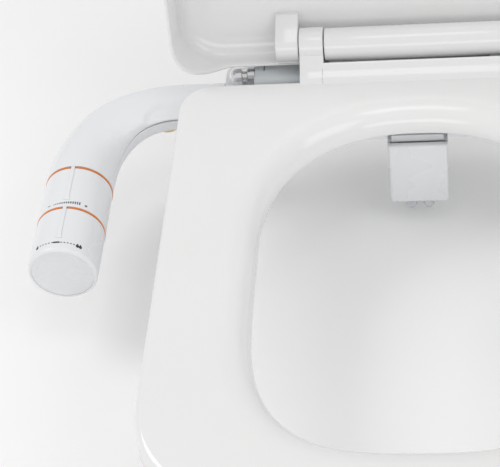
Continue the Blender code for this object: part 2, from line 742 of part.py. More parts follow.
def arm_section(t, inset, start, stop, steps):
    """Part of the arm's outline at one station: a flat slot at the root and a circle at the handle."""
    point, way = arm_path(t)
    blend = smooth((t + 0.05) / 1.05) ** 1.25
    half_width = ARM_ROOT_HALF_WIDTH + (HANDLE_RADIUS - ARM_ROOT_HALF_WIDTH) * blend - inset
    half_height = ARM_ROOT_HALF_HEIGHT + (HANDLE_RADIUS - ARM_ROOT_HALF_HEIGHT) * blend - inset
    centre_z = ARM_ROOT_Z + (HANDLE_Z - ARM_ROOT_Z) * blend
    keel = ARM_KEEL * smooth((t + 0.05) / 0.09) * (1 - smooth(t / 0.95))
    power = 2 / (4.5 - 2.5 * smooth(t / 0.8))
    side = Vector((-way.y, way.x))
    points = []
    for i in range(steps + 1):
        angle = math.radians(start + (stop - start) * i / steps)
        c, s = math.cos(angle), math.sin(angle)
        across = half_width * math.copysign(abs(c) ** power, c)
        up = (half_height + (keel if s < 0 else 0)) * math.copysign(abs(s) ** power, s)
        points.append((point.x + side.x * across, point.y + side.y * across, centre_z + up))
    return points


def arm_shell_mesh(start, stop):
    stations = [-1, -0.5, -0.05, -0.01, 0.04] + [i / 14 for i in range(1, 15)]
    sections = []
    for t in stations:
        outer = arm_section(t, 0, start, stop, 12)
        inner = arm_section(t, ARM_WALL, stop, start, 12)
        sections.append(outer + inner)
    return loft_mesh(sections)


def make_arm():
    """The arm's two half shells. They meet at the arm's widest line, with a gap left between them."""
    split = 1.2
    place("arm_upper_shell", arm_shell_mesh(split, 180 - split), arm_plastic())
    lower = place("arm_lower_shell", arm_shell_mesh(-180 + split, -split), arm_plastic())
    x, y, _ = inlet_place()
    cut(lower, cut_rod("inlet_hole", INLET_BORE + 0.0022 + GAP, 0.02, -0.08, at=(x, y, 0)))


def inlet_place():
    """Where the water inlet leaves the arm: its x and y, and the height of the arm's underside there."""
    point, way = arm_path(INLET_STATION)
    point += INLET_OFFSET * Vector((way.y, -way.x))
    stations = [INLET_STATION + 0.03 * i for i in range(-6, 7)]
    near = [z for t in stations for x, y, z in arm_section(t, 0, -160, -20, 14)
            if math.hypot(x - point.x, y - point.y) < INLET_FLANGE + 0.002]
    return point.x, point.y, min(near)


def make_inlet():
    """The threaded inlet, held to the arm's underside by a nut, with a strainer in its mouth."""
    x, y, under = inlet_place()
    neck, bore, thread = INLET_BORE + 0.0022, INLET_BORE, THREAD_RADIUS
    top, seat = under + 0.010, under - GAP
    end = seat - INLET_LENGTH
    profile = [(bore, top), (neck, top), (neck, seat), (INLET_FLANGE, seat), (INLET_FLANGE, seat - 0.003),
               (thread - 0.0008, seat - 0.003)]
    pitch, count = 0.0022, 3
    for turn in range(count):
        z = seat - 0.004 - pitch * turn
        profile += [(thread - 0.0008, z), (thread, z - pitch * 0.35), (thread, z - pitch * 0.6)]
    profile += [(thread - 0.0008, z - pitch), (thread - 0.0008, end), (bore + 0.0018, end),
                (bore + 0.0018, end + 0.004),
                (bore, end + 0.004)]
    turned("inlet_spigot", profile, brass(), COARSE, at=(x, y, 0), closed=True)
    strainer = rod_profile(bore + 0.0018 - GAP, end + 0.004 - GAP, end + 0.0014, 0.0003)
    turned("inlet_strainer", strainer, steel(), COARSE, at=(x, y, 0))


def hose(name, points, look):
    """A hose along a smooth curve through its route's own points."""
    guide = [Vector(point) for point in points]
    padded = [2 * guide[0] - guide[1]] + guide + [2 * guide[-1] - guide[-2]]
    route = []
    for a, b, c, d in zip(padded, padded[1:], padded[2:], padded[3:]):
        for step in range(3):
            t = step / 3
            route.append(0.5 * (2 * b + (c - a) * t + (2 * a - 5 * b + 4 * c - d) * t ** 2
                                + (3 * b - a - 3 * c + d) * t ** 3))
    route.append(guide[-1])
    curve = bpy.data.curves.new(name, "CURVE")
    curve.dimensions = "3D"
    curve.bevel_depth = HOSE_RADIUS
    curve.bevel_resolution = 2
    curve.use_fill_caps = True
    spline = curve.splines.new("POLY")
    spline.points.add(len(route) - 1)
    for point, place_at in zip(spline.points, route):
        point.co = (*place_at, 1)
    return place(name, solid_mesh(curve), look)


def make_hoses():
    """Two hoses from the valve to the manifold, along the arm and round in front of the adjuster disc."""
    z = ARM_ROOT_Z - ARM_ROOT_HALF_HEIGHT + ARM_WALL + HOSE_RADIUS + GAP / 2
    for name, side in (("rear", 1), ("front", -1)):
        lateral = HOSE_SPACING / 2 * side
        lane = NOZZLE_Y + lateral
        route = []
        for t in (0.8, 0.5, 0.3, 0.1, -0.5):
            point, way = arm_path(t)
            across = Vector((way.y, -way.x)) * lateral
            centre = arm_section(t, 0, 0, 180, 2)
            route.append((point.x + across.x, point.y + across.y, (centre[0][2] + centre[2][2]) / 2))
        route[-1] = (*route[-1][:2], z)
        turn_y = ARM_ROOT_Y + lateral
        disc_x = -BOLT_SPACING / 2
        route += [(BASE_LEFT + 0.006, turn_y, z), (BASE_LEFT + 0.018, (turn_y + lane) / 2, z),
                  (BASE_LEFT + 0.034, lane, z), (disc_x, lane, z), (disc_x / 2, lane, z),
                  (-MANIFOLD_HALF_WIDTH - GAP, lane, z)]
        hose(f"nozzle_hose_{name}", route, clear_tube())


# ---------------------------------------------------------------- washing unit: handle

def handle_matrix():
    return {"turn": FORWARD, "at": (HANDLE_X, 0, HANDLE_Z)}


def crown_gap(name, start, end, radius):
    """A cutter that opens a ring at the handle's crown."""
    half = 0.0022
    return cut_box(name, (HANDLE_X - half, -end, HANDLE_Z + radius - 0.004),
                   (HANDLE_X + half, -start, HANDLE_Z + 0.05))


def make_sleeve(name, start, length, front_round):
    """A grip sleeve with a step at its back for its accent ring and a raised mark along its crown."""
    end = start + length
    outer, inner = HANDLE_RADIUS, HANDLE_RADIUS - HANDLE_WALL
    step = outer - ACCENT_DEPTH
    profile = [(inner, end - front_round * 0.6), (outer - front_round, end)]
    turn_r, turn_z = outer - front_round, end - front_round
    profile += [(turn_r + front_round * math.sin(a), turn_z + front_round * math.cos(a))
                for a in (math.radians(30), math.radians(60), math.radians(90))]
    shoulder = start + ACCENT_WIDTH + GAP
    profile += [(outer, shoulder), (step, shoulder), (step, start), (inner, start)]
    sleeve = turned(name, profile, arm_plastic(), FINE, closed=True, **handle_matrix())
    low, high = start + GAP, start + length * 0.72
    mark = box(f"{name}_mark", (HANDLE_X - 0.0011, -high, HANDLE_Z + outer - 0.0012),
               (HANDLE_X + 0.0011, -low, HANDLE_Z + outer + 0.0007), arm_plastic())
    return fuse(sleeve, mark)


def make_accent_ring(name, start):
    """The orange ring in the sleeve's step, open at the crown where the raised mark runs through."""
    outer, inner = HANDLE_RADIUS + 0.0001, HANDLE_RADIUS - ACCENT_DEPTH + GAP
    ring = turned(name, tube_profile(outer, inner, start + ACCENT_WIDTH, start), orange_plastic(), FINE,
                  closed=True,
                  **handle_matrix())
    return cut(ring, crown_gap(f"{name}_gap", start - 0.001, start + ACCENT_WIDTH + 0.001, HANDLE_RADIUS))


def make_handle():
    """The valve body in the arm's end, with two sleeves, their rotors and seals on it and a cap in front."""
    start = -PRESSURE_START
    middle = start + PRESSURE_LENGTH
    mode_start = middle + GAP
    end = mode_start + MODE_LENGTH
    bore = HANDLE_RADIUS - HANDLE_WALL
    arm_bore = HANDLE_RADIUS - ARM_WALL
    pressure_core, mode_core = 0.0175, 0.0120
    step = middle + 0.006
    body = [(0, end - 0.014), (mode_core, end - 0.014), (mode_core, step), (pressure_core, step),
            (pressure_core, start + GAP), (arm_bore - 0.0011, start - 0.0018), (arm_bore - 0.0011, start - 0.007),
            (pressure_core, start - 0.007), (pressure_core, start - 0.014), (0, start - 0.014)]
    turned("valve_body", body, pale_plastic(), FINE, **handle_matrix())
    make_sleeve("pressure_sleeve", start, PRESSURE_LENGTH, 0.0004)
    make_sleeve("mode_sleeve", mode_start, MODE_LENGTH, 0.0024)
    make_accent_ring("pressure_accent_ring", start)
    make_accent_ring("mode_accent_ring", mode_start)
    for name, core, low, high in (("pressure", pressure_core, start + 0.006, start + 0.022),
                                  ("mode", mode_core, step + 0.004, end - 0.018)):
        turned(f"{name}_rotor", tube_profile(bore - GAP, core + RUN, high, low), pale_plastic(), FINE,
               closed=True,
               **handle_matrix())
    for name, low in (("pressure", start + 0.027), ("mode", middle + 0.001)):
        core = pressure_core
        turned(f"{name}_seal", tube_profile(bore - RUN, core + GAP, low + 0.0035, low, 0.001, 0.001),
               dark_rubber(),
               FINE, closed=True, **handle_matrix())
    cap_radius = bore - GAP
    cap = [(0, end - 0.0075), (cap_radius * 0.6, end - 0.0068), (cap_radius - 0.001, end - 0.0042),
           (cap_radius, end - 0.0046), (cap_radius, end - 0.010), (0, end - 0.010)]
    turned("handle_end_cap", cap, arm_plastic(), FINE, **handle_matrix())


# ---------------------------------------------------------------- washing unit: nozzles

def make_manifold():
    """The block that feeds both nozzles, on top of their housing."""
    half_width, half_depth = MANIFOLD_HALF_WIDTH, MANIFOLD_HALF_DEPTH
    block = box("nozzle_manifold", (-half_width, NOZZLE_Y - half_depth, BASE_FLOOR + GAP),
                (half_width, NOZZLE_Y + half_depth, BASE_SPLIT - GAP), pale_plastic(), 0.0006)
    for side, sign in (("left", -1), ("right", 1)):
        at = (sign * NOZZLE_X, NOZZLE_Y, 0)
        cut(block, cut_rod(f"port_{side}", 0.0018, BASE_FLOOR + 0.0025, -0.01, at=at))


def make_nozzle_housing():
    """The fixed block under the plate, with a hood over the guard and a stepped bore for each nozzle."""
    side = BLOCK_HALF_WIDTH - GUARD_WALL - RUN
    pin_y, pin_z = guard_pin_place()
    hood_floor = pin_z - 0.0008
    body = box("nozzle_housing", (-side, BLOCK_FRONT + GUARD_WALL + RUN, BLOCK_BOTTOM + 0.0035),
               (side, BLOCK_BACK, BASE_FLOOR), pale_plastic(), 0.0008)
    hood = box("hood", (-BLOCK_HALF_WIDTH + 0.0001, pin_y + 0.0022, hood_floor),
               (BLOCK_HALF_WIDTH - 0.0001, BLOCK_BACK - 0.002, BLOCK_TOP), pale_plastic(), 0.0005)
    trim_top = cut_box("housing_step", (-WIDE, -WIDE, BLOCK_TOP + 0.0002), (WIDE, NOZZLE_Y - 0.0085, WIDE))
    round_cut = cut_rod("guard_clearance", GUARD_ROUND + RUN, WIDE / 10, -WIDE / 10, BARREL,
                        (0, pin_y, pin_z), FINE)
    fuse(body, hood)
    cut(body, trim_top, round_cut)
    for tag, sign in (("left", -1), ("right", 1)):
        xs = sorted((sign * LUG_INNER, sign * LUG_OUTER))
        lug = turned(f"lug_{tag}", rod_profile(0.0026, xs[1], xs[0], 0.0001), pale_plastic(), COARSE, BARREL,
                     (0, pin_y, pin_z))
        arm = box(f"lug_arm_{tag}", (xs[0], pin_y, pin_z - 0.0022), (xs[1], pin_y + 0.008, pin_z + 0.0004),
                  pale_plastic())
        fuse(body, lug, arm)
        at = (sign * NOZZLE_X, NOZZLE_Y, 0)
        lip = BLOCK_BOTTOM + 0.0035 + 0.004
        cut(body, cut_stepped(f"nozzle_bore_{tag}", COLLAR_RADIUS + RUN, NOZZLE_RADIUS + RUN, 0.01, lip,
                              -0.1, at))
    past = LUG_OUTER + 0.001
    cut(body, cut_rod("pin_bore", PIN_RADIUS + GAP, past, -past, BARREL, (0, pin_y, pin_z)))


def guard_pin_place():
    return BLOCK_FRONT + GUARD_ROUND, BLOCK_TOP - GUARD_ROUND


def make_guard():
    """The flap in front of the nozzles. Its top edge is round about its pin, so it can swing up."""
    pin_y, pin_z = guard_pin_place()
    back = BLOCK_FRONT + GUARD_DEPTH
    outline_points = [(back, BLOCK_BOTTOM), (back, pin_z - GUARD_ROUND + 0.0030),
                      (pin_y + 0.0034, pin_z - 0.0026)]
    outline_points += arc(GUARD_ROUND, 0, 180, 12, (pin_y, pin_z)) + [(BLOCK_FRONT, BLOCK_BOTTOM)]
    guard = place("nozzle_guard", plate_mesh(outline_points, -BLOCK_HALF_WIDTH, BLOCK_HALF_WIDTH, ALONG_X),
                  white_plastic())
    rounding = guard.modifiers.new("Rounding", "BEVEL")
    rounding.width = 0.0006
    rounding.segments = 1
    rounding.limit_method = "ANGLE"
    rounding.angle_limit = math.radians(50)
    side = BLOCK_HALF_WIDTH - GUARD_WALL
    wall = BLOCK_FRONT + GUARD_WALL
    hollow = cut_box("guard_hollow", (-side, wall, -0.1), (side, 0.05, pin_z - GUARD_ROUND + GAP))
    behind = cut_box("guard_behind", (-side, pin_y, pin_z - GUARD_ROUND - 0.002),
                     (side, 0.05, pin_z - 0.0008))
    cut(guard, hollow, behind)
    for tag, sign in (("left", -1), ("right", 1)):
        xs = sorted((sign * (LUG_INNER - RUN), sign * (LUG_OUTER + RUN)))
        slot = cut_box(f"lug_slot_{tag}", (xs[0], pin_y + 0.0004, pin_z - 0.02), (xs[1], 0.05, pin_z + 0.02))
        below = cut_box(f"lug_below_{tag}", (xs[0], wall, pin_z - 0.02), (xs[1], 0.05, pin_z))
        round_slot = cut_rod(f"lug_round_{tag}", 0.0032, xs[1], xs[0], BARREL, (0, pin_y, pin_z))
        cut(guard, slot, below, round_slot)
    past = PIN_END + GAP
    cut(guard, cut_rod("guard_pin_bore", PIN_RADIUS + GAP, past, -past, BARREL, (0, pin_y, pin_z)))
    pivot(guard, (0, pin_y, pin_z))
    turned("guard_pin", rod_profile(PIN_RADIUS, PIN_END, -PIN_END, 0.0002), steel(), COARSE, BARREL,
           (0, pin_y, pin_z))


def make_nozzles():
    """Two spring-loaded tubes that water pushes down out of the housing."""
    collar_top, collar_low = -0.0040, -0.0070
    tip = BLOCK_BOTTOM - NOZZLE_REACH
    radius = NOZZLE_RADIUS
    profile = [(0, tip + 0.004), (0.0016, tip + 0.004), (0.0016, collar_top), (COLLAR_RADIUS, collar_top),
               (COLLAR_RADIUS, collar_low), (radius, collar_low)]
    profile += [(radius * math.cos(math.radians(a)), tip + radius - radius * math.sin(math.radians(a)))
                for a in (0, 25, 50, 70)] + [(0, tip)]
    lip = BLOCK_BOTTOM + 0.0035 + 0.004
    for tag, sign in (("left", -1), ("right", 1)):
        at = (sign * NOZZLE_X, NOZZLE_Y, 0)
        turned(f"nozzle_{tag}", profile, clear_tube(), COARSE, at=at)
        make_spring(f"nozzle_spring_{tag}", at, lip + GAP, collar_low - GAP)


def make_spring(name, at, low, high):
    steps = 8
    middle = (NOZZLE_RADIUS + COLLAR_RADIUS + RUN) / 2
    low, high = low + SPRING_WIRE, high - SPRING_WIRE
    curve = bpy.data.curves.new(name, "CURVE")
    curve.dimensions = "3D"
    curve.bevel_depth = SPRING_WIRE
    curve.bevel_resolution = 0
    curve.use_fill_caps = True
    spline = curve.splines.new("POLY")
    count = SPRING_TURNS * steps
    spline.points.add(count)
    for i, point in enumerate(spline.points):
        angle = 2 * math.pi * i / steps
        point.co = (at[0] + middle * math.cos(angle), at[1] + middle * math.sin(angle),
                    low + (high - low) * i / count, 1)
    place(name, solid_mesh(curve), steel())


# ---------------------------------------------------------------- the whole object

def make_hinge_pivot():
    """An empty on the hinge axis that holds the lid open."""
    empty = bpy.data.objects.new("lid_pivot", None)
    empty.location = (0, 0, HINGE_Z)
    empty.rotation_euler = (-LID_OPEN, 0, 0)
    PARTS.objects.link(empty)
    return empty


def main():
    lid_pivot = make_hinge_pivot()
    make_seat_ring()
    make_seat_bumpers()
    make_lid_shell(lid_pivot)
    make_lid_bumpers(lid_pivot)
    make_hinge_bar()
    make_dampers(lid_pivot)
    make_bushes(lid_pivot)
    make_feet()
    make_mounting_hardware()
    make_base_plate()
    make_base_cover()
    make_arm()
    make_inlet()
    make_hoses()
    make_handle()
    make_manifold()
    make_nozzle_housing()
    make_guard()
    make_nozzles()


clear_scene()
PARTS = new_collection("bidet_seat")
CUTTERS = new_collection("cutters")
main()
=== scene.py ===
"""The looks of a toilet seat with a wrap-over lid and a slim water-worked washing unit."""

import math

import bmesh
import bpy
from bpy.props import FloatProperty, FloatVectorProperty, IntProperty, PointerProperty
from bpy.types import Operator, Panel, PropertyGroup
from mathutils import Matrix, Vector


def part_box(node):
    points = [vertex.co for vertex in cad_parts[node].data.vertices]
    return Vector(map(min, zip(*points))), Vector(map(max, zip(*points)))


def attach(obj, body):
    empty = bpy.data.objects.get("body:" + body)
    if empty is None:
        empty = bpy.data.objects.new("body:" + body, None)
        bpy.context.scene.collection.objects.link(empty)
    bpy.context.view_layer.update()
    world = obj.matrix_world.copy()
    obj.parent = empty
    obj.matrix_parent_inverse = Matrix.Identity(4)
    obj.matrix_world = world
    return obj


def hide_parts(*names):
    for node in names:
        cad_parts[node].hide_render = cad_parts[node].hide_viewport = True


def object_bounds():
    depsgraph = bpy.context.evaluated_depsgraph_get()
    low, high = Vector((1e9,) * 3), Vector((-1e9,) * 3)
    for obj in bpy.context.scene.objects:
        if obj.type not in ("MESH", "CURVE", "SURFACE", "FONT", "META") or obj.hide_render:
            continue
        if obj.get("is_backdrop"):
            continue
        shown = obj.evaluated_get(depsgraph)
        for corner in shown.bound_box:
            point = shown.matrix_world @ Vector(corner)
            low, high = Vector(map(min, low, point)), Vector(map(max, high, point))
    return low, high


bl_info = {
    "name": "Washing Seat Looks",
    "version": (1, 0, 0),
    "blender": (4, 5, 0),
    "location": "View3D > Sidebar > Washing Seat",
    "description": "Finished mouldings, fittings and finishes over the washing seat's frame",
    "category": "Object",
}

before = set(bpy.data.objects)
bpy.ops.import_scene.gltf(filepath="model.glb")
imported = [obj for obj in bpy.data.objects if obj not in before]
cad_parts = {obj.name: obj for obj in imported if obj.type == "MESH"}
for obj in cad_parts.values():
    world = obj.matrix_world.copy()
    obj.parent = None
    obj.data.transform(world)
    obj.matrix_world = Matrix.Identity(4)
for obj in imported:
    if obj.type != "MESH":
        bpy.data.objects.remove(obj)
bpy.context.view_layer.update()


# ---------------------------------------------------------------- sizes and colours

def length(name, description, default, low=0.0001, high=1.0):
    return FloatProperty(name=name, description=description, default=default, min=low, max=high,
                         subtype="DISTANCE",
                         unit="LENGTH", precision=5)


def place_along(name, description, default):
    return FloatProperty(name=name, description=description, default=default, subtype="DISTANCE",
                         unit="LENGTH",
                         precision=5)


def colour(name, description, default):
    return FloatVectorProperty(name=name, description=description, default=default, size=3, min=0, max=1,
                               subtype="COLOR")


class SeatSizes(PropertyGroup):
    half_width: length("Half width", "Half the width of the ring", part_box("seat_ring")[1][0])
    back: place_along("Back", "Where the ring's back edge lies", -0.026)
    front: place_along("Front", "Where the ring's front end lies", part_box("seat_ring")[0][1])
    corner: length("Corner", "Radius of the ring's back corners", 0.027)
    front_curve: length("Front curve", "Depth of the ring's curved front end", 0.104)
    top: length("Top", "Height of the sitting surface above the rim", 0.032)
    underside: length("Underside", "Height of the ring's lowest edge above the rim",
                      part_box("seat_ring")[0][2])
    wall: length("Wall", "Thickness of the hollow ring's wall", 0.003)
    edge: length("Outer edge", "Radius of the rounded outer edge", 0.0045)
    slope: length("Inner slope", "Width of the rounded slope into the opening", 0.024)
    opening_half_width: length("Opening half width", "Half the width of the opening", 0.1128)
    opening_back: place_along("Opening back", "Where the opening's back apex lies", -0.0694)
    opening_front: place_along("Opening front", "Where the opening's front end lies", -0.3741)
    apron_front: length("Apron", "How far in front of the hinge the raised back starts", 0.031)


class LidSizes(PropertyGroup):
    margin: length("Margin", "Gap between the lid's skirt and the ring inside it", 0.0010)
    wall: length("Wall", "Thickness of the lid's wall", 0.0025)
    back: length("Back", "How far the back of the lid lies behind the hinge", 0.0163)
    corner: length("Corner", "Radius of the lid's back corners", 0.036)
    front_reach: length("Front reach", "How far the lid passes the ring's front", 0.0085)
    top: length("Top", "Height of the closed lid's top above the hinge axis", 0.0195)
    slope: FloatProperty(name="Slope", description="Fall of the closed lid's top towards the front",
                         default=0.052)
    skirt: length("Skirt", "How far the closed lid's rim lies under the hinge axis", 0.033)
    rim_rise: length("Rim rise", "How much shallower the skirt is behind the hinge", 0.0315)
    shoulder: length("Shoulder", "Width of the rounded shoulder round the lid's edge", 0.020)
    open_angle: FloatProperty(name="Opening", description="How far the lid stands open",
                              default=math.radians(103),
                              subtype="ANGLE", unit="ROTATION")


class HingeSizes(PropertyGroup):
    height: length("Axis height", "Height of the hinge axis above the rim", 0.0448)
    bar_radius: length("Bar radius", "Radius of the fixed bar", 0.0128)
    bar_half_length: length("Bar half length", "Half the length of the fixed bar",
                            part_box("hinge_bar")[1][0])
    knuckle_gap: length("Knuckle gap", "Gap beside each knuckle", 0.0008)
    boss_radius: length("Boss radius", "Radius of the seat's two bosses", 0.0138)
    boss_width: length("Boss width", "Width of the seat's two bosses", 0.0185)
    leg_radius: length("Leg radius", "Radius of the lid's two legs about the axis", 0.012)
    leg_width: length("Leg width", "Width of the lid's two legs", 0.0177)


class ArmSizes(PropertyGroup):
    root_x: place_along("Root", "Where the arm leaves the base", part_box("arm_upper_shell")[1][0])
    bend_x: place_along("Bend", "Where the arm starts to bend", -0.184)
    root_y: place_along("Root line", "The arm's middle line at its root", -0.016)
    root_half_width: length("Root half width", "Half the arm's width at its root", 0.020)
    root_half_height: length("Root half height", "Half the arm's height at its root", 0.0042)
    root_z: length("Root height", "Height of the arm's middle at its root", 0.0044)
    wall: length("Wall", "Thickness of the arm's shells", 0.0018)
    keel: length("Keel", "How much deeper the arm is under its middle past the rim", 0.0100)


class HandleSizes(PropertyGroup):
    x: place_along("Across", "Where the handle's axis lies across the seat", -0.2605)
    z: place_along("Height", "Height of the handle's axis", -0.0116)
    radius: length("Radius", "Radius of the handle", 0.026)
    wall: length("Wall", "Thickness of the sleeves", 0.0026)
    start: length("Start", "How far in front of the hinge the handle starts", 0.0972)
    pressure_length: length("Pressure sleeve", "Length of the sleeve for water pressure", 0.0433)
    mode_length: length("Mode sleeve", "Length of the sleeve that picks the nozzle", 0.0448)
    accent_width: length("Accent width", "Width of each coloured ring", 0.0018)
    mark_height: length("Mark height", "How far the crown marks stand proud", 0.0007)


class FinishColours(PropertyGroup):
    seat: colour("Seat", "Gloss moulding of the seat and lid", (0.80, 0.80, 0.80))
    arm: colour("Arm", "Satin moulding of the arm and sleeves", (0.78, 0.79, 0.81))
    block: colour("Nozzle block", "Pale moulding of the nozzle block", (0.76, 0.775, 0.795))
    accent: colour("Accent", "The two coloured rings", (0.70, 0.20, 0.025))
    print: colour("Print", "The marks printed on the sleeves", (0.035, 0.037, 0.045))
    # The deep grey also colours the spray-hole discs, where it is painted shade for the holes' insides.
    seam: colour("Deep grey", "Dark mouldings inside the hinge", (0.22, 0.25, 0.30))


class StageSizes(PropertyGroup):
    floor_drop: length("Floor", "How far the floor lies under the lowest piece", 0.004)
    floor_side: length("Floor side", "Side of the square floor", 12.0, high=40.0)


def sizes():
    return bpy.context.scene.washing_seat


class SeatSettings(PropertyGroup):
    seat: PointerProperty(type=SeatSizes)
    lid: PointerProperty(type=LidSizes)
    hinge: PointerProperty(type=HingeSizes)
    arm: PointerProperty(type=ArmSizes)
    handle: PointerProperty(type=HandleSizes)
    colours: PointerProperty(type=FinishColours)
    stage: PointerProperty(type=StageSizes)
    around: IntProperty(name="Steps round", description="Points round the big mouldings", default=240,
                        min=48, max=480)


# ---------------------------------------------------------------- node groups that the finishes share

def new_group(name, inputs, outputs):
    """An empty shader node group with named float inputs, with their defaults, and float outputs."""
    group = bpy.data.node_groups.new(name, "ShaderNodeTree")
    group.interface.new_socket(name="Place", in_out="INPUT", socket_type="NodeSocketVector")
    for label, default in inputs.items():
        socket = group.interface.new_socket(name=label, in_out="INPUT", socket_type="NodeSocketFloat")
        socket.default_value = default
    for label in outputs:
        group.interface.new_socket(name=label, in_out="OUTPUT", socket_type="NodeSocketFloat")
    return group, group.nodes.new("NodeGroupInput"), group.nodes.new("NodeGroupOutput")


def noise_in(group, place, scale, detail, roughness=0.5):
    noise = group.nodes.new("ShaderNodeTexNoise")
    noise.inputs["Detail"].default_value = detail
    noise.inputs["Roughness"].default_value = roughness
    group.links.new(place, noise.inputs["Vector"])
    if isinstance(scale, (int, float)):
        noise.inputs["Scale"].default_value = scale
    else:
        group.links.new(scale, noise.inputs["Scale"])
    return noise.outputs["Fac"]


def span_in(group, value, low, high, to_low, to_high):
    span = group.nodes.new("ShaderNodeMapRange")
    group.links.new(value, span.inputs["Value"])
    for label, given in (("From Min", low), ("From Max", high), ("To Min", to_low), ("To Max", to_high)):
        if isinstance(given, (int, float)):
            span.inputs[label].default_value = given
        else:
            group.links.new(given, span.inputs[label])
    return span.outputs["Result"]


def moulding_group():
    """Flow ripple and fine grain of a moulded skin: a height for Bump and a slow mask for its colour."""
    group, given, out = new_group("moulded_skin", {"Ripple Scale": 60, "Grain Scale": 2200,
                                                   "Grain Share": 0.15},
                                  ("Height", "Drift"))
    ripple = noise_in(group, given.outputs["Place"], given.outputs["Ripple Scale"], 1.0)
    grain = noise_in(group, given.outputs["Place"], given.outputs["Grain Scale"], 2.0)
    mix = group.nodes.new("ShaderNodeMix")
    group.links.new(given.outputs["Grain Share"], mix.inputs["Factor"])
    group.links.new(ripple, mix.inputs["A"])
    group.links.new(grain, mix.inputs["B"])
    group.links.new(mix.outputs["Result"], out.inputs["Height"])
    drift = noise_in(group, given.outputs["Place"], 9.0, 2.0)
    group.links.new(span_in(group, drift, 0.3, 0.7, 0.0, 1.0), out.inputs["Drift"])
    return group


def handling_group():
    """Roughness of a surface that hands and cloths have dulled in soft patches and fine wipe lines."""
    group, given, out = new_group("handled_gloss", {"Clean": 0.1, "Dulled": 0.2, "Patch Scale": 14},
                                  ("Roughness",))
    patches = noise_in(group, given.outputs["Place"], given.outputs["Patch Scale"], 3.0)
    stretch = group.nodes.new("ShaderNodeMapping")
    stretch.inputs["Scale"].default_value = (40, 700, 260)
    stretch.inputs["Rotation"].default_value = (0.3, 0.2, 0.5)
    group.links.new(given.outputs["Place"], stretch.inputs["Vector"])
    lines = noise_in(group, stretch.outputs["Vector"], 1.0, 2.0)
    both = group.nodes.new("ShaderNodeMath")
    both.operation = "MULTIPLY_ADD"
    group.links.new(lines, both.inputs[0])
    both.inputs[1].default_value = 0.03
    group.links.new(patches, both.inputs[2])
    result = span_in(group, both.outputs["Value"], 0.36, 0.68, given.outputs["Clean"],
                     given.outputs["Dulled"])
    group.links.new(result, out.inputs["Roughness"])
    return group


def brushed_group():
    """Fine turning or brushing lines of worked metal, across one direction."""
    group, given, out = new_group("worked_metal", {"Line Scale": 1.0}, ("Height", "Shade"))
    stretch = group.nodes.new("ShaderNodeMapping")
    stretch.inputs["Scale"].default_value = (2600, 60, 60)
    group.links.new(given.outputs["Place"], stretch.inputs["Vector"])
    lines = noise_in(group, stretch.outputs["Vector"], given.outputs["Line Scale"], 3.0)
    group.links.new(lines, out.inputs["Height"])
    soft = noise_in(group, given.outputs["Place"], 120.0, 2.0)
    group.links.new(span_in(group, soft, 0.3, 0.7, 0.0, 1.0), out.inputs["Shade"])
    return group


GROUPS = {}


def effect(tree, name, place, **values):
    """Places a shared group in a material with its own values."""
    makers = {"moulded_skin": moulding_group, "handled_gloss": handling_group,
              "worked_metal": brushed_group}
    if name not in GROUPS:
        GROUPS[name] = makers[name]()
    node = tree.nodes.new("ShaderNodeGroup")
    node.node_tree = GROUPS[name]
    tree.links.new(place, node.inputs["Place"])
    for label, value in values.items():
        node.inputs[label.replace("_", " ")].default_value = value
    return node


# ---------------------------------------------------------------- finishes

def blank_finish(name, shade):
    made = bpy.data.materials.new(name)
    made.use_nodes = True
    made.diffuse_color = (*shade, 1)
    tree = made.node_tree
    return made, tree, tree.nodes["Principled BSDF"], tree.nodes.new("ShaderNodeTexCoord").outputs["Object"]


def tint(tree, shader, mask, shade, drift):
    """Base colour that drifts slowly between a shade and the same shade a little darker and warmer."""
    mix = tree.nodes.new("ShaderNodeMix")
    mix.data_type = "RGBA"
    mix.inputs["A"].default_value = (*shade, 1)
    red, green, blue = shade
    mix.inputs["B"].default_value = (red * (1 - drift * 0.8), green * (1 - drift),
                                     blue * (1 - drift * 1.25), 1)
    tree.links.new(mask, mix.inputs["Factor"])
    tree.links.new(mix.outputs["Result"], shader.inputs["Base Color"])


def bump(tree, shader, height, strength, distance):
    node = tree.nodes.new("ShaderNodeBump")
    node.inputs["Strength"].default_value = strength
    node.inputs["Distance"].default_value = distance
    tree.links.new(height, node.inputs["Height"])
    tree.links.new(node.outputs["Normal"], shader.inputs["Normal"])


def moulded(name, shade, clean, dulled, drift=0.03, coat=0.0, grain=0.15, relief=0.00002, patch=14,
            soft=0.0):
    """A moulded plastic or rubber: drifting colour, patchy gloss and a skin with ripple and grain."""
    if name in bpy.data.materials:
        return bpy.data.materials[name]
    made, tree, shader, place = blank_finish(name, shade)
    skin = effect(tree, "moulded_skin", place, Grain_Share=grain)
    handled = effect(tree, "handled_gloss", place, Clean=clean, Dulled=dulled, Patch_Scale=patch)
    tint(tree, shader, skin.outputs["Drift"], shade, drift)
    tree.links.new(handled.outputs["Roughness"], shader.inputs["Roughness"])
    bump(tree, shader, skin.outputs["Height"], 0.35, relief)
    shader.inputs["IOR"].default_value = 1.49
    shader.inputs["Coat Weight"].default_value = coat
    shader.inputs["Coat Roughness"].default_value = 0.04
    if soft:
        shader.inputs["Subsurface Weight"].default_value = soft
        shader.inputs["Subsurface Radius"].default_value = (1.0, 0.9, 0.8)
        shader.inputs["Subsurface Scale"].default_value = 0.002
    return made


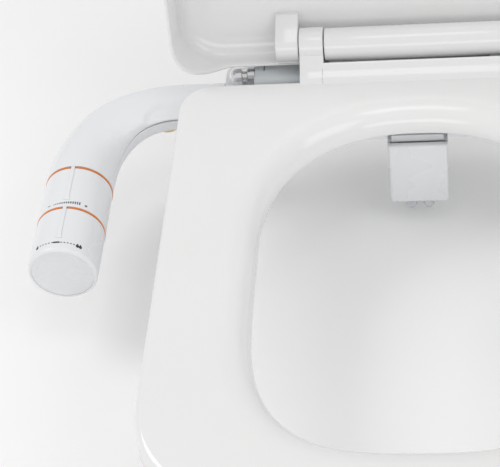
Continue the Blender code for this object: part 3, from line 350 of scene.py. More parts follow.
def metal(name, shade, clean, dulled, relief=0.00001, lines=1.0):
    """A worked metal: fine lines, small changes of shade and patchy gloss."""
    if name in bpy.data.materials:
        return bpy.data.materials[name]
    made, tree, shader, place = blank_finish(name, shade)
    worked = effect(tree, "worked_metal", place, Line_Scale=lines)
    handled = effect(tree, "handled_gloss", place, Clean=clean, Dulled=dulled, Patch_Scale=60)
    tint(tree, shader, worked.outputs["Shade"], shade, 0.12)
    tree.links.new(handled.outputs["Roughness"], shader.inputs["Roughness"])
    bump(tree, shader, worked.outputs["Height"], 0.4, relief)
    shader.inputs["Metallic"].default_value = 1.0
    return made


def clear_plastic(name, shade, clean, dulled, transmission):
    """A milky see-through plastic."""
    if name in bpy.data.materials:
        return bpy.data.materials[name]
    made, tree, shader, place = blank_finish(name, shade)
    skin = effect(tree, "moulded_skin", place, Ripple_Scale=200, Grain_Share=0.1)
    handled = effect(tree, "handled_gloss", place, Clean=clean, Dulled=dulled, Patch_Scale=90)
    tint(tree, shader, skin.outputs["Drift"], shade, 0.05)
    tree.links.new(handled.outputs["Roughness"], shader.inputs["Roughness"])
    bump(tree, shader, skin.outputs["Height"], 0.3, 0.00002)
    shader.inputs["Transmission Weight"].default_value = transmission
    shader.inputs["IOR"].default_value = 1.45
    return made


def seat_gloss():
    return moulded("seat_gloss", tuple(sizes().colours.seat), 0.07, 0.15, 0.02, coat=0.25, grain=0.04,
                   relief=0.00003)


def arm_satin():
    return moulded("arm_satin", tuple(sizes().colours.arm), 0.22, 0.28, 0.02, grain=0.3, relief=0.00002)


def block_satin():
    return moulded("block_satin", tuple(sizes().colours.block), 0.26, 0.31, 0.02, grain=0.35)


# Grey of the inner mouldings. On the two hinge feet this blue-grey is painted shade: the feet are white,
# darkened as they look under the lid.
def inner_moulding():
    return moulded("inner_moulding", (0.62, 0.65, 0.67), 0.30, 0.45, 0.05, grain=0.4)


def accent_orange():
    return moulded("accent_orange", tuple(sizes().colours.accent), 0.28, 0.42, 0.06, grain=0.3, patch=40)


def printed_ink():
    return moulded("printed_ink", tuple(sizes().colours.print), 0.40, 0.60, 0.15, grain=0.5, patch=120)


# Dark grey of the hinge seams, and painted shade for the insides of the nozzles' spray holes.
def seam_grey():
    return moulded("seam_grey", tuple(sizes().colours.seam), 0.25, 0.4, 0.06, grain=0.4)


def grey_rubber():
    return moulded("grey_rubber", (0.66, 0.67, 0.68), 0.55, 0.75, 0.06, grain=0.6, relief=0.00005)


def black_rubber():
    return moulded("black_rubber", (0.025, 0.025, 0.027), 0.55, 0.8, 0.2, grain=0.7, relief=0.00006)


def button_chrome():
    return metal("button_chrome", (0.86, 0.87, 0.89), 0.03, 0.10, relief=0.000002, lines=0.3)


def brushed_steel():
    return metal("brushed_steel", (0.58, 0.60, 0.62), 0.22, 0.38)


def nickel_brass():
    return metal("nickel_brass", (0.74, 0.56, 0.28), 0.18, 0.34)


def nozzle_milk():
    return clear_plastic("nozzle_milk", (0.86, 0.89, 0.91), 0.10, 0.2, 0.45)


def hose_clear():
    return clear_plastic("hose_clear", (0.80, 0.88, 0.92), 0.12, 0.22, 0.7)


# ---------------------------------------------------------------- shapes

def piece(name, built, look, body, stands_for=(), turn=None, angle=35):
    """Makes a finished piece of a bmesh. Its place is in its mesh, and it rides on one of the bodies."""
    if turn is not None:
        bmesh.ops.transform(built, matrix=turn, verts=built.verts)
    mesh = bpy.data.meshes.new(name)
    built.to_mesh(mesh)
    built.free()
    mesh.materials.append(look)
    mesh.shade_smooth()
    mesh.set_sharp_from_angle(angle=math.radians(angle))
    made = bpy.data.objects.new(name, mesh)
    bpy.context.scene.collection.objects.link(made)
    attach(made, body)
    if stands_for:
        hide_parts(*stands_for)
    return made


def face_out(built):
    bmesh.ops.remove_doubles(built, verts=built.verts, dist=1e-6)
    bmesh.ops.recalc_face_normals(built, faces=built.faces)


def skin(rings, around=False, ends=True):
    """Extrudes a circle of edges from ring to ring, then closes its ends or joins last to first."""
    built = bmesh.new()
    order = built.verts.layers.int.new("order")
    bmesh.ops.create_circle(built, segments=len(rings[0]), radius=1)
    for i, vert in enumerate(built.verts):
        vert[order] = i
        vert.co = rings[0][i]
    first = edge = built.edges[:]
    for ring in rings[1:]:
        made = bmesh.ops.extrude_edge_only(built, edges=edge)["geom"]
        fresh = {item for item in made if isinstance(item, bmesh.types.BMVert)}
        for vert in fresh:
            vert.co = ring[vert[order]]
        edge = [item for item in made if isinstance(item, bmesh.types.BMEdge) and set(item.verts) <= fresh]
    if around:
        bmesh.ops.bridge_loops(built, edges=first + edge)
    elif ends:
        bmesh.ops.edgeloop_fill(built, edges=first)
        bmesh.ops.edgeloop_fill(built, edges=edge)
    bmesh.ops.recalc_face_normals(built, faces=built.faces)
    return built


def lathe(profile, centre=(0, 0, 0), axis="Z", steps=48, sweep=360, start=0):
    """Spins a profile of (radius, distance) pairs about X, Y or Z. A minus sign turns it end for end."""
    built = bmesh.new()
    verts = [bmesh.ops.create_vert(built, co=(radius, 0, height))["vert"][0] for radius, height in profile]
    for near, far in zip(verts, verts[1:]):
        bmesh.ops.contextual_create(built, geom=(near, far))
    bmesh.ops.rotate(built, verts=built.verts, matrix=Matrix.Rotation(math.radians(start), 3, "Z"))
    full = abs(sweep) >= 360
    bmesh.ops.spin(built, geom=built.verts[:] + built.edges[:], cent=(0, 0, 0), axis=(0, 0, 1),
                   dvec=(0, 0, 0),
                   angle=math.radians(sweep), steps=steps, use_merge=full)
    face_out(built)
    sign = -1 if axis.startswith("-") else 1
    turns = {"X": Matrix.Rotation(sign * math.pi / 2, 4, "Y"),
             "Y": Matrix.Rotation(-sign * math.pi / 2, 4, "X"),
             "Z": Matrix.Rotation(0 if sign > 0 else math.pi, 4, "X")}
    bmesh.ops.transform(built, matrix=Matrix.Translation(centre) @ turns[axis[-1]], verts=built.verts)
    return built


def prism(points, low, high, bevel=0.0, segments=3, matrix=None, angle=20):
    """Extrudes a flat outline of (x, y) pairs from one height to another and rounds its sharper edges."""
    built = bmesh.new()
    verts = [bmesh.ops.create_vert(built, co=(x, y, low))["vert"][0] for x, y in points]
    for near, far in zip(verts, verts[1:] + verts[:1]):
        bmesh.ops.contextual_create(built, geom=(near, far))
    bmesh.ops.edgeloop_fill(built, edges=built.edges[:])
    grown = bmesh.ops.extrude_face_region(built, geom=built.faces[:])["geom"]
    bmesh.ops.translate(built, vec=(0, 0, high - low),
                        verts=[v for v in grown if isinstance(v, bmesh.types.BMVert)])
    bmesh.ops.recalc_face_normals(built, faces=built.faces)
    round_edges(built, bevel, segments, angle)
    if matrix is not None:
        bmesh.ops.transform(built, matrix=matrix, verts=built.verts)
        bmesh.ops.recalc_face_normals(built, faces=built.faces)
    return built


def round_edges(built, size, segments=3, angle=20, keep=None):
    """Bevels the edges that turn by more than an angle, or only those of them that keep(edge) picks."""
    if not size:
        return built
    sharp = [e for e in built.edges if len(e.link_faces) == 2 and e.calc_face_angle(0) > math.radians(angle)
             and (keep is None or keep(e))]
    bmesh.ops.bevel(built, geom=sharp, offset=size, offset_type="OFFSET", segments=segments, profile=0.5,
                    affect="EDGES", clamp_overlap=True, material=-1)
    return built


def block(low, high, bevel=0.0, segments=4):
    low, high = Vector(low), Vector(high)
    built = bmesh.new()
    bmesh.ops.create_cube(built, size=1)
    bmesh.ops.scale(built, vec=high - low, verts=built.verts)
    bmesh.ops.translate(built, vec=(low + high) / 2, verts=built.verts)
    return round_edges(built, bevel, segments)


def join(*parts):
    """One bmesh of several, whose pieces may run into each other."""
    whole = bmesh.new()
    for part in parts:
        mesh = bpy.data.meshes.new("joined")
        part.to_mesh(mesh)
        part.free()
        whole.from_mesh(mesh)
        bpy.data.meshes.remove(mesh)
    return whole


def arc(radius, start, end, steps, centre=(0.0, 0.0)):
    angles = [math.radians(start + (end - start) * i / steps) for i in range(steps + 1)]
    return [(centre[0] + radius * math.cos(a), centre[1] + radius * math.sin(a)) for a in angles]


def smooth(value):
    value = min(max(value, 0.0), 1.0)
    return value * value * (3 - 2 * value)


# Turns an outline drawn in (y, z) so that its heights run along X
ALONG_X = Matrix(((0, 0, 1, 0), (1, 0, 0, 0), (0, 1, 0, 0), (0, 0, 0, 1)))


# ---------------------------------------------------------------- outlines of the ring and the lid

OUTLINE_CENTRE = -0.205
RISE_FLOOR = 0.0255  # how high the raised back starts, inside the ring


def inside_outer(x, y, half_width, back, front, corner, curve, power=2.8):
    """Whether a point lies in an outline with a square back, round corners and a curved front."""
    x = abs(x)
    if y > back or x > half_width:
        return False
    if y < front + curve:
        return (x / half_width) ** power + ((front + curve - y) / curve) ** power < 1
    over_x, over_y = x - (half_width - corner), y - (back - corner)
    return over_x < 0 or over_y < 0 or math.hypot(over_x, over_y) < corner


def inside_ring(inset):
    seat = sizes().seat
    corner = max(seat.corner - inset, 0.004)
    return lambda x, y: inside_outer(x, y, seat.half_width - inset, seat.back - inset, seat.front + inset,
                                     corner,
                                     seat.front_curve)


def inside_lid(inset):
    seat, lid = sizes().seat, sizes().lid
    half_width = seat.half_width + lid.margin + lid.wall - inset
    corner = max(lid.corner - inset, 0.004)
    return lambda x, y: inside_outer(x, y, half_width, lid.back - inset,
                                     seat.front - lid.front_reach + inset, corner,
                                     seat.front_curve)


def inside_opening(grow):
    """The opening: round at the back, straight along its sides and squarer at the front."""
    seat = sizes().seat
    half_width = seat.opening_half_width + grow
    back_curve, front_curve = 0.1226, 0.1391
    wide_back, wide_front = seat.opening_back - back_curve, seat.opening_front + front_curve

    def inside(x, y):
        x = abs(x) / half_width
        if y > wide_back:
            return x ** 2.25 + ((y - wide_back) / (back_curve + grow)) ** 2.25 < 1
        if y < wide_front:
            return x ** 3.1 + ((wide_front - y) / (front_curve + grow)) ** 3.1 < 1
        return x < 1

    return inside


def outline(inside, angles):
    """Where an outline lies in each direction from the outlines' common centre."""
    points = []
    for angle in angles:
        way = (math.cos(angle), math.sin(angle))
        near, far = 0.0, 0.5
        for _ in range(26):
            middle = (near + far) / 2
            if inside(middle * way[0], OUTLINE_CENTRE + middle * way[1]):
                near = middle
            else:
                far = middle
        points.append((near * way[0], OUTLINE_CENTRE + near * way[1]))
    return points


def outline_angles(corner_x, corner_y):
    """Directions round the outline, closer together across the two back corners."""
    count = sizes().around
    corner = math.atan2(corner_y - OUTLINE_CENTRE, corner_x)
    span = math.radians(9)
    extra = count // 10
    rest = [2 * math.pi * i / count for i in range(count)]
    fine = [corner - span + 2 * span * (i + 0.5) / extra for i in range(extra)]
    fine += [math.pi - a for a in fine]
    rest = [a for a in rest if abs(a - corner) > span and abs(a - (math.pi - corner)) > span]
    return sorted(rest + fine)


# ---------------------------------------------------------------- seat

def ring_levels():
    """Levels round the hollow section: up its outside, over the top, into the opening and back under."""
    seat = sizes().seat
    top, under, wall, edge = seat.top, seat.underside, seat.wall, seat.edge
    outer = [(0.0008, under), (0.0001, under + 0.0004), (0, under + 0.0012), (0.0005, (top + under) / 2)]
    outer += [(0.0008 + edge - x, top - edge + z) for x, z in arc(edge, 0, 90, 8)]
    low = under + 0.0025
    power = 2 / 2.25
    inner = []
    for i in range(17):
        turn = math.radians(90 * i / 16)
        inner.append((seat.slope * (1 - math.sin(turn) ** power),
                      low + (top - low) * math.cos(turn) ** power))
    inner += [(0.0002, low - 0.0012), (0.0010, low - 0.0019), (0.0022, low - 0.0019)]
    under_inner = [(wall, low), (0.0042, top - 0.014), (0.008, top - 0.008), (seat.slope, top - wall)]
    under_outer = [(0.0048 + 0.001, top - wall), (wall + 0.001, top - 0.006), (wall, under + 0.0006),
                   (wall - 0.0006, under)]
    return ([(inside_ring(inset), z) for inset, z in outer]
            + [(inside_opening(grow), z) for grow, z in inner + under_inner]
            + [(inside_ring(inset), z) for inset, z in under_outer])


def ring_shape():
    seat = sizes().seat
    angles = outline_angles(seat.half_width, seat.back)
    rings = [[(x, y, z) for x, y in outline(inside, angles)] for inside, z in ring_levels()]
    return skin(rings, around=True)


def soft_rise():
    """The hollow rise behind the sitting surface, with the levels of its crease and of its floor."""
    seat, hinge = sizes().seat, sizes().hinge
    crease, floor = seat.top - hinge.height, RISE_FLOOR - hinge.height
    rise = [(-seat.apron_front - 0.003, floor), (-seat.apron_front - 0.003, crease - 0.0004),
            (-seat.apron_front, crease + 0.0003), (-0.0275, crease + 0.0017), (-0.0240, crease + 0.0036),
            (-0.0206, crease + 0.0059)]
    return rise, crease, floor


def boss_outline():
    """Side view of a boss: up from the sitting surface in a soft hollow, and round the hinge axis."""
    rise, crease, floor = soft_rise()
    foot = rise + [(-0.0178, crease + 0.0085), (-0.0160, crease + 0.0110)]
    return foot + arc(sizes().hinge.boss_radius, 178, -75, 40) + [(-0.013, floor)]


def apron_outline():
    """Side view of the raised back between the bosses, which stops short of the fixed bar."""
    rise, crease, floor = soft_rise()
    return rise + [(-0.0184, crease + 0.0078), (-0.0174, crease + 0.0084), (-0.0166, crease + 0.0082),
                   (-0.0160, crease + 0.0072), (-0.0160, floor)]


def along_hinge(outline_points, low, high, bevel, angle=30):
    at_axis = Matrix.Translation((0, 0, sizes().hinge.height)) @ ALONG_X
    return prism(outline_points, low, high, bevel, 4, at_axis, angle)


class WASHSEAT_OT_seat(Operator):
    """Makes the seat ring with its raised back and its two bosses."""
    bl_idname = "washseat.seat"
    bl_label = "Seat ring"

    def execute(self, context):
        hinge = sizes().hinge
        inner = hinge.bar_half_length + hinge.knuckle_gap
        gloss = seat_gloss()
        piece("seat_ring_moulding", ring_shape(), gloss, "seat", ["seat_ring"], angle=50)
        piece("seat_raised_back", along_hinge(apron_outline(), -inner - 0.001, inner + 0.001, 0), gloss,
              "seat",
              angle=40)
        for side, low in (("left", -inner - hinge.boss_width), ("right", inner)):
            boss = along_hinge(boss_outline(), low, low + hinge.boss_width, 0.0007, 60)
            piece(f"seat_boss_{side}", boss, gloss, "seat", angle=30)
        return {"FINISHED"}


# ---------------------------------------------------------------- lid

def lid_top(y):
    return sizes().lid.top + sizes().lid.slope * y


def lid_rim(x, y):
    """Height of the skirt's rim, which rises round the back corners to clear the hinge."""
    lid = sizes().lid
    back = smooth((y + 0.060) / 0.040)
    return lid.rim_rise * back * smooth((sizes().seat.half_width + 0.002 - abs(x)) / 0.042) - lid.skirt


def lid_levels():
    """(inset, depth under the top) from the outside over the shoulder to the rim and back inside.

    A depth of None with a lift marks the rim."""
    lid = sizes().lid
    over = []
    for i in range(15):
        turn = math.radians(90 * i / 14)
        over.append((lid.shoulder * (1 - math.sin(turn) ** 0.8), 0.014 * (1 - math.cos(turn) ** 0.8), 0))
    rim = [(0, None, 0.0012), (0.0005, None, 0.0003), (lid.wall / 2, None, 0),
           (lid.wall - 0.0005, None, 0.0003),
           (lid.wall, None, 0.0012)]
    back = []
    for i in range(15):
        turn = math.radians(90 * (14 - i) / 14)
        back.append((lid.wall + (lid.shoulder - 0.002) * (1 - math.sin(turn) ** 0.8),
                     lid.wall + 0.0125 * (1 - math.cos(turn) ** 0.8), 0))
    return over + rim + back


def lid_shape():
    """The lid's closed shell about its hinge axis. Its two flat fields close with a face each."""
    seat, lid = sizes().seat, sizes().lid
    angles = outline_angles(seat.half_width, lid.back)
    rings = []
    for inset, depth, lift in lid_levels():
        points = outline(inside_lid(inset), angles)
        rings.append([(x, y, lid_rim(x, y) + lift if depth is None else lid_top(y) - depth) for x,
                      y in points])
    return skin(rings)


def open_lid():
    lid, hinge = sizes().lid, sizes().hinge
    return Matrix.Translation((0, 0, hinge.height)) @ Matrix.Rotation(-lid.open_angle, 4, "X")


def cut_mouth(built, half, low_y, top):
    """Takes away the lid's back wall between its legs, below a height."""
    for plane, way in (((half, 0, 0), (1, 0, 0)), ((-half, 0, 0), (1, 0, 0)), ((0, low_y, 0), (0, 1, 0)),
                       ((0, 0, top), (0, 0, 1))):
        geometry = built.verts[:] + built.edges[:] + built.faces[:]
        bmesh.ops.bisect_plane(built, geom=geometry, dist=1e-7, plane_co=plane, plane_no=way)
    gone = []
    for face in built.faces:
        centre = face.calc_center_median()
        if abs(centre.x) < half and centre.y > low_y and centre.z < top:
            gone.append(face)
    bmesh.ops.delete(built, geom=gone, context="FACES")
    edges = [edge for edge in built.edges if edge.is_boundary]
    bmesh.ops.holes_fill(built, edges=edges, sides=0)
    bmesh.ops.recalc_face_normals(built, faces=built.faces)
    return built


def leg_outline():
    """Side view of a leg of the closed lid: from under the top field back and round the axis."""
    lid, hinge = sizes().lid, sizes().hinge
    root = lid.top - 0.0016
    wall = lid.back - 0.0016
    start = [(-0.022, 0.010), (-0.022, root - 0.022 * lid.slope), (0.004, root), (0.0118, 0.0125),
             (wall, 0.004), (wall, -0.0012), (0.012, -0.006)]
    return start + arc(hinge.leg_radius, -30, -130, 24)


class WASHSEAT_OT_lid(Operator):
    """Makes the wrap-over lid, standing open, with its two legs."""
    bl_idname = "washseat.lid"
    bl_label = "Lid"

    def execute(self, context):
        hinge = sizes().hinge
        gloss = seat_gloss()
        inner = hinge.bar_half_length + 2 * hinge.knuckle_gap + hinge.boss_width
        shell = cut_mouth(lid_shape(), inner - hinge.knuckle_gap / 2, 0.003, 0.0105)
        piece("lid_moulding", shell, gloss, "lid", ["lid_shell"], open_lid(), angle=50)
        for side, low in (("left", -inner - hinge.leg_width), ("right", inner)):
            leg = prism(leg_outline(), low, low + hinge.leg_width, 0.0008, 4, ALONG_X, 45)
            piece(f"lid_leg_{side}", leg, gloss, "lid", turn=open_lid(), angle=30)
        return {"FINISHED"}


# ---------------------------------------------------------------- hinge

def bar_profile():
    """Half section of the fixed bar, with soft ends."""
    hinge = sizes().hinge
    half, radius, bore, soft = hinge.bar_half_length, hinge.bar_radius, 0.0098, 0.0012
    ends = [(radius - soft + y, half - soft + x) for y, x in arc(soft, 90, 0, 5)]
    right = [(bore, half - 0.0006)] + ends
    return right + [(radius, -distance) for radius, distance in reversed(right)]


class WASHSEAT_OT_hinge(Operator):
    """Makes the fixed bar, the two feet that carry it, and the quick-release buttons in their ends."""
    bl_idname = "washseat.hinge"
    bl_label = "Hinge"

    def execute(self, context):
        hinge = sizes().hinge
        piece("hinge_bar_moulding", lathe(bar_profile(), (0, 0, hinge.height), "X", 96), seat_gloss(),
              "fixed_frame",
              ["hinge_bar"], angle=50)
        for side, sign in (("left", -1), ("right", 1)):
            self.make_foot(side, sign)
            self.make_button(side, sign)
        return {"FINISHED"}

    def make_foot(self, side, sign):
        low, high = (Vector(corner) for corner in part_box(f"hinge_foot_{side}"))
        top = 0.024
        outline_points = [(low.y + 0.0002, low.z), (high.y - 0.0002, low.z), (high.y - 0.0002, top - 0.006)]
        outline_points += arc(0.006, 0, 90, 10, (high.y - 0.0062, top - 0.006))
        outline_points += arc(0.006, 90, 180, 10, (low.y + 0.0062, top - 0.006))
        shell = prism(outline_points, low.x, high.x, 0.0012, 4, ALONG_X, 60)
        web_low, web_high = sorted((sign * 0.0565, sign * 0.0675))
        web = block((web_low, -0.0085, top - 0.003), (web_high, 0.0025, high.z - 0.0008), 0.0014)
        # The feet's blue-grey finish is painted shade laid on white mouldings.
        foot = piece(f"hinge_foot_moulding_{side}", join(shell, web), inner_moulding(), "fixed_frame",
                     [f"hinge_foot_{side}"], angle=35)
        band_x = sign * 0.1190
        band = lathe([(0.0081, -0.0007), (0.0085, -0.0005), (0.0085, 0.0005), (0.0081, 0.0007)],
                     (band_x, 0, (low.z + top) / 2), "X", 64)
        bmesh.ops.scale(band, vec=(1, 2.01, 0.95),
                        space=Matrix.Translation((-band_x, 0, -(low.z + top) / 2)),
                        verts=band.verts)
        piece(f"foot_seam_{side}", band, seam_grey(), "fixed_frame")

    def make_button(self, side, sign):
        low, high = (Vector(corner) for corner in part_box(f"release_button_{side}"))
        out = high.x if sign > 0 else -low.x
        radius, height, z = 0.0073, 0.011, (low.z + high.z) / 2
        profile = [(0, out)] + [(radius * math.sin(math.radians(a)) ** 0.9,
                                 out - height + height * 0.35 + height * 0.65 * math.cos(math.radians(a)))
                                for a in range(8, 91, 6)]
        profile += [(radius, out - height + 0.0006), (radius - 0.0006, out - height),
                    (0.0049, out - height),
                    (0.0049, out - height - 0.0065), (0, out - height - 0.0065)]
        button = piece(f"release_button_chrome_{side}",
                       lathe(profile, (0, 0, z), "X" if sign > 0 else "-X", 64),
                       button_chrome(), f"{side}_button", [f"release_button_{side}"], angle=30)


# ---------------------------------------------------------------- control arm

def arm_path(t):
    """Centre and direction of the arm: straight out of the base, round a bend, to the handle's axis."""
    arm, handle = sizes().arm, sizes().handle
    start, end = Vector((arm.bend_x, arm.root_y)), Vector((handle.x, -handle.start + 0.0004))
    near, far = start + Vector((-0.052, 0)), end + Vector((0, 0.049))
    if t < 0:
        return start.lerp(Vector((arm.root_x, arm.root_y)), -t), Vector((-1, 0))
    u = 1 - t
    point = u ** 3 * start + 3 * u * u * t * near + 3 * u * t * t * far + t ** 3 * end
    way = 3 * u * u * (near - start) + 6 * u * t * (far - near) + 3 * t * t * (end - far)
    return point, way.normalized()


def hollow_depth(x, y):
    """How far the arm's top is sunk at a place: a shallow hollow, open towards the front, beside the seat."""
    over = max(-(x + 0.180), 0) / 0.034
    up = max(y + 0.040, 0) / 0.0225
    return 0.0019 * smooth((1 - over ** 2.4 - up ** 2.4) / 0.22)


def arm_section(t, inset, start, stop, steps):
    """Part of the arm's outline at one station: a flat slot at the root and a circle at the handle."""
    arm, handle = sizes().arm, sizes().handle
    point, way = arm_path(t)
    blend = smooth((t + 0.05) / 1.05) ** 1.25
    half_width = arm.root_half_width + (handle.radius - arm.root_half_width) * blend - inset
    half_height = arm.root_half_height + (handle.radius - arm.root_half_height) * blend - inset
    centre_z = arm.root_z + (handle.z - arm.root_z) * blend
    keel = arm.keel * smooth((t + 0.05) / 0.09) * (1 - smooth(t / 0.95))
    power = 2 / (4.5 - 2.5 * smooth(t / 0.8))
    side = Vector((-way.y, way.x))
    points = []
    for i in range(steps + 1):
        angle = math.radians(start + (stop - start) * i / steps)
        c, s = math.cos(angle), math.sin(angle)
        across = half_width * math.copysign(abs(c) ** power, c)
        up = (half_height + (keel if s < 0 else 0)) * math.copysign(abs(s) ** power, s)
        x, y = point.x + side.x * across, point.y + side.y * across
        sunk = hollow_depth(x, y) * smooth(s / 0.4) if s > 0 else 0
        points.append((x, y, centre_z + up - sunk))
    return points


def arm_shell(start, stop):
    """A half shell of the arm, cut at the parting line."""
    wall = sizes().arm.wall
    stations = [-1, -0.7, -0.4, -0.2, -0.1, -0.05, -0.025, 0, 0.02, 0.04] + [i / 48 for i in range(3, 49)]
    rings = []
    for t in stations:
        outer = arm_section(t, 0, start, stop, 56)
        inner = arm_section(t, wall, stop, start, 40)
        rings.append(outer + inner)
    return skin(rings)


class WASHSEAT_OT_arm(Operator):
    """Makes the two half shells of the control arm."""
    bl_idname = "washseat.arm"
    bl_label = "Control arm"

    def execute(self, context):
        split = 0.2
        upper = piece("arm_upper_moulding", arm_shell(split, 180 - split), arm_satin(), "fixed_frame",
                      ["arm_upper_shell"], angle=50)
        lower = piece("arm_lower_moulding", arm_shell(-180 + split, -split), arm_satin(), "fixed_frame",
                      ["arm_lower_shell"], angle=50)
        return {"FINISHED"}


# ---------------------------------------------------------------- handle

def wrapped(points, low, high, fine=0.0012):
    """A flat mark laid round the handle. Its outline is (way round, distance along) in metres,
    and its heights are measured from the sleeves' skin."""
    handle = sizes().handle
    built = prism(points, low, high)
    left, right = min(points)[0], max(points)[0]
    width = right - left
    cuts = int(width / fine)
    for i in range(1, cuts):
        geometry = built.verts[:] + built.edges[:] + built.faces[:]
        bmesh.ops.bisect_plane(built, geom=geometry, dist=1e-8, plane_co=(left + width * i / cuts, 0, 0),
                               plane_no=(1, 0, 0))
    for vert in built.verts:
        around, along, height = vert.co
        reach, angle = handle.radius + height, around / handle.radius
        vert.co = (handle.x + reach * math.sin(angle), -along, handle.z + reach * math.cos(angle))
    bmesh.ops.recalc_face_normals(built, faces=built.faces)
    return built


def sleeve_profile(start, length, front_round):
    """Half section of a grip sleeve, with a step at its back for the coloured ring and a rounded front."""
    handle = sizes().handle
    end, outer, inner = start + length, handle.radius, handle.radius - handle.wall
    step = outer - 0.0016
    nose = [(outer - front_round + x, end - front_round + y) for x, y in arc(front_round, 90, 0, 10)]
    inside = [(inner, end - front_round * 0.8 - 0.0003), (inner + 0.0001, end - front_round * 0.35)]
    back = [(outer - 0.0002, start + handle.accent_width + 0.0002),
            (outer - 0.0004, start + handle.accent_width),
            (step, start + handle.accent_width), (step, start), (inner, start)]
    return inside + nose + back + [inside[0]]


def crown_mark(start, flare_start, flare_end):
    """The raised line along a sleeve's crown, which opens into a pointer at its front."""
    half, wide = 0.0014, 0.0023
    outline_points = [(-half, start), (half, start), (half, flare_start),
                      (wide * 0.75, (flare_start + flare_end) / 2)]
    outline_points += [(wide, flare_end), (-wide, flare_end), (-wide * 0.75, (flare_start + flare_end) / 2),
                       (-half, flare_start)]
    mark = wrapped(outline_points, -0.0008, sizes().handle.mark_height * 0.8, 0.0009)
    return round_edges(mark, 0.00025, 3, 40)


def bar_mark(around, along, width, height):
    return [(around - width / 2, along - height / 2), (around + width / 2, along - height / 2),
            (around + width / 2, along + height / 2), (around - width / 2, along + height / 2)]


def drop_mark(around, along, size):
    """A water drop, its point towards the arm."""
    round_part = arc(size * 0.5, 205, -25, 9, (around, along + size * 0.25))
    return [(around, along - size * 0.75)] + [(x, y) for x, y in reversed(round_part)]


def pressure_marks():
    """A rising scale of ticks between a minus and a plus."""
    radius, line = sizes().handle.radius, 0.1366
    marks = []
    for i in range(13):
        angle = math.radians(-21 + 44 * i / 12)
        tall = 0.0009 + 0.0019 * i / 12
        marks.append(bar_mark(angle * radius, line - tall / 2 + 0.0009, 0.00088, tall))
    minus, plus = math.radians(-31) * radius, math.radians(34) * radius
    marks += [bar_mark(minus, line, 0.0023, 0.0007), bar_mark(plus, line, 0.0023, 0.0007),
              bar_mark(plus, line, 0.0007, 0.0023)]
    return marks


def mode_marks():
    """One drop, an empty bar for off, and two drops, with short lines that lead from one to the next."""
    radius, line = sizes().handle.radius, 0.1778
    marks = []
    for angle, count in ((-38, 1), (33, 2)):
        for i in range(count):
            marks.append(drop_mark(math.radians(angle + 5.2 * i) * radius, line, 0.0027))
    marks.append(bar_mark(math.radians(-2) * radius, line, 0.0050, 0.0015))
    for start, stop in ((-31, -9), (6, 27)):
        for i in range(5):
            angle = math.radians(start + (stop - start) * i / 4)
            marks.append(bar_mark(angle * radius, line, 0.0013, 0.0008))
    return marks


def print_on_sleeve(name, marks, body):
    flat = join(*[wrapped(points, -0.0001, 0.00004) for points in marks])
    return piece(name, flat, printed_ink(), body, angle=60)


def accent_ring(start):
    """The coloured ring in a sleeve's step, open at the crown where the raised line runs through."""
    handle = sizes().handle
    outer, inner, end = handle.radius + 0.00005, handle.radius - 0.0014, start + handle.accent_width - 0.0002
    profile = [(inner, start), (outer - 0.0002, start), (outer, start + 0.0002), (outer, end - 0.0002),
               (outer - 0.0002, end), (inner, end), (inner, start)]
    gap = 5.0
    turned = lathe(profile, (0, 0, 0), "Z", 120, 360 - 2 * gap, 90 + gap)
    ends = [edge for edge in turned.edges if edge.is_boundary]
    bmesh.ops.holes_fill(turned, edges=ends, sides=0)
    bmesh.ops.recalc_face_normals(turned, faces=turned.faces)
    at_handle = Matrix.Translation((handle.x, 0, handle.z)) @ Matrix.Rotation(math.pi / 2, 4, "X")
    bmesh.ops.transform(turned, matrix=at_handle, verts=turned.verts)
    return turned


class WASHSEAT_OT_handle(Operator):
    """Makes the handle's two sleeves with their crown marks, coloured rings, printed marks and dished end."""
    bl_idname = "washseat.handle"
    bl_label = "Handle"

    def execute(self, context):
        handle = sizes().handle
        mode_start = handle.start + handle.pressure_length + 0.0003
        self.make_sleeve("pressure", handle.start, handle.pressure_length, 0.0004, 0.1273, 0.1334)
        self.make_sleeve("mode", mode_start, handle.mode_length, 0.0026, 0.1674, 0.1731)
        print_on_sleeve("pressure_print", pressure_marks(), "pressure_control")
        print_on_sleeve("mode_print", mode_marks(), "mode_control")
        self.make_end(mode_start + handle.mode_length)
        return {"FINISHED"}

    def make_sleeve(self, name, start, length, front_round, flare_start, flare_end):
        handle = sizes().handle
        centre = (handle.x, 0, handle.z)
        body = f"{name}_control"
        sleeve = piece(f"{name}_grip", lathe(sleeve_profile(start, length, front_round), centre, "-Y", 144),
                       arm_satin(), body, [f"{name}_sleeve"], angle=35)
        mark = piece(f"{name}_crown_mark", crown_mark(start + 0.0004, flare_start, flare_end), arm_satin(),
                     body, angle=30)
        ring = piece(f"{name}_ring", accent_ring(start), accent_orange(), body, [f"{name}_accent_ring"],
                     angle=35)

    def make_end(self, end):
        """The dished end, which runs smoothly into the mode sleeve's nose."""
        handle = sizes().handle
        radius = handle.radius - handle.wall
        dish = [(0, end - 0.0070)]
        for i in range(1, 19):
            share = i / 18
            dish.append((radius * share, end - 0.0070 + 0.0061 * share ** 2.6))
        dish += [(radius, end - 0.0018), (radius, end - 0.010), (0, end - 0.010)]
        made = piece("handle_end_dish", lathe(dish, (handle.x, 0, handle.z), "-Y", 144), arm_satin(),
                     "mode_control",
                     ["handle_end_cap"], angle=40)


# ---------------------------------------------------------------- nozzle block

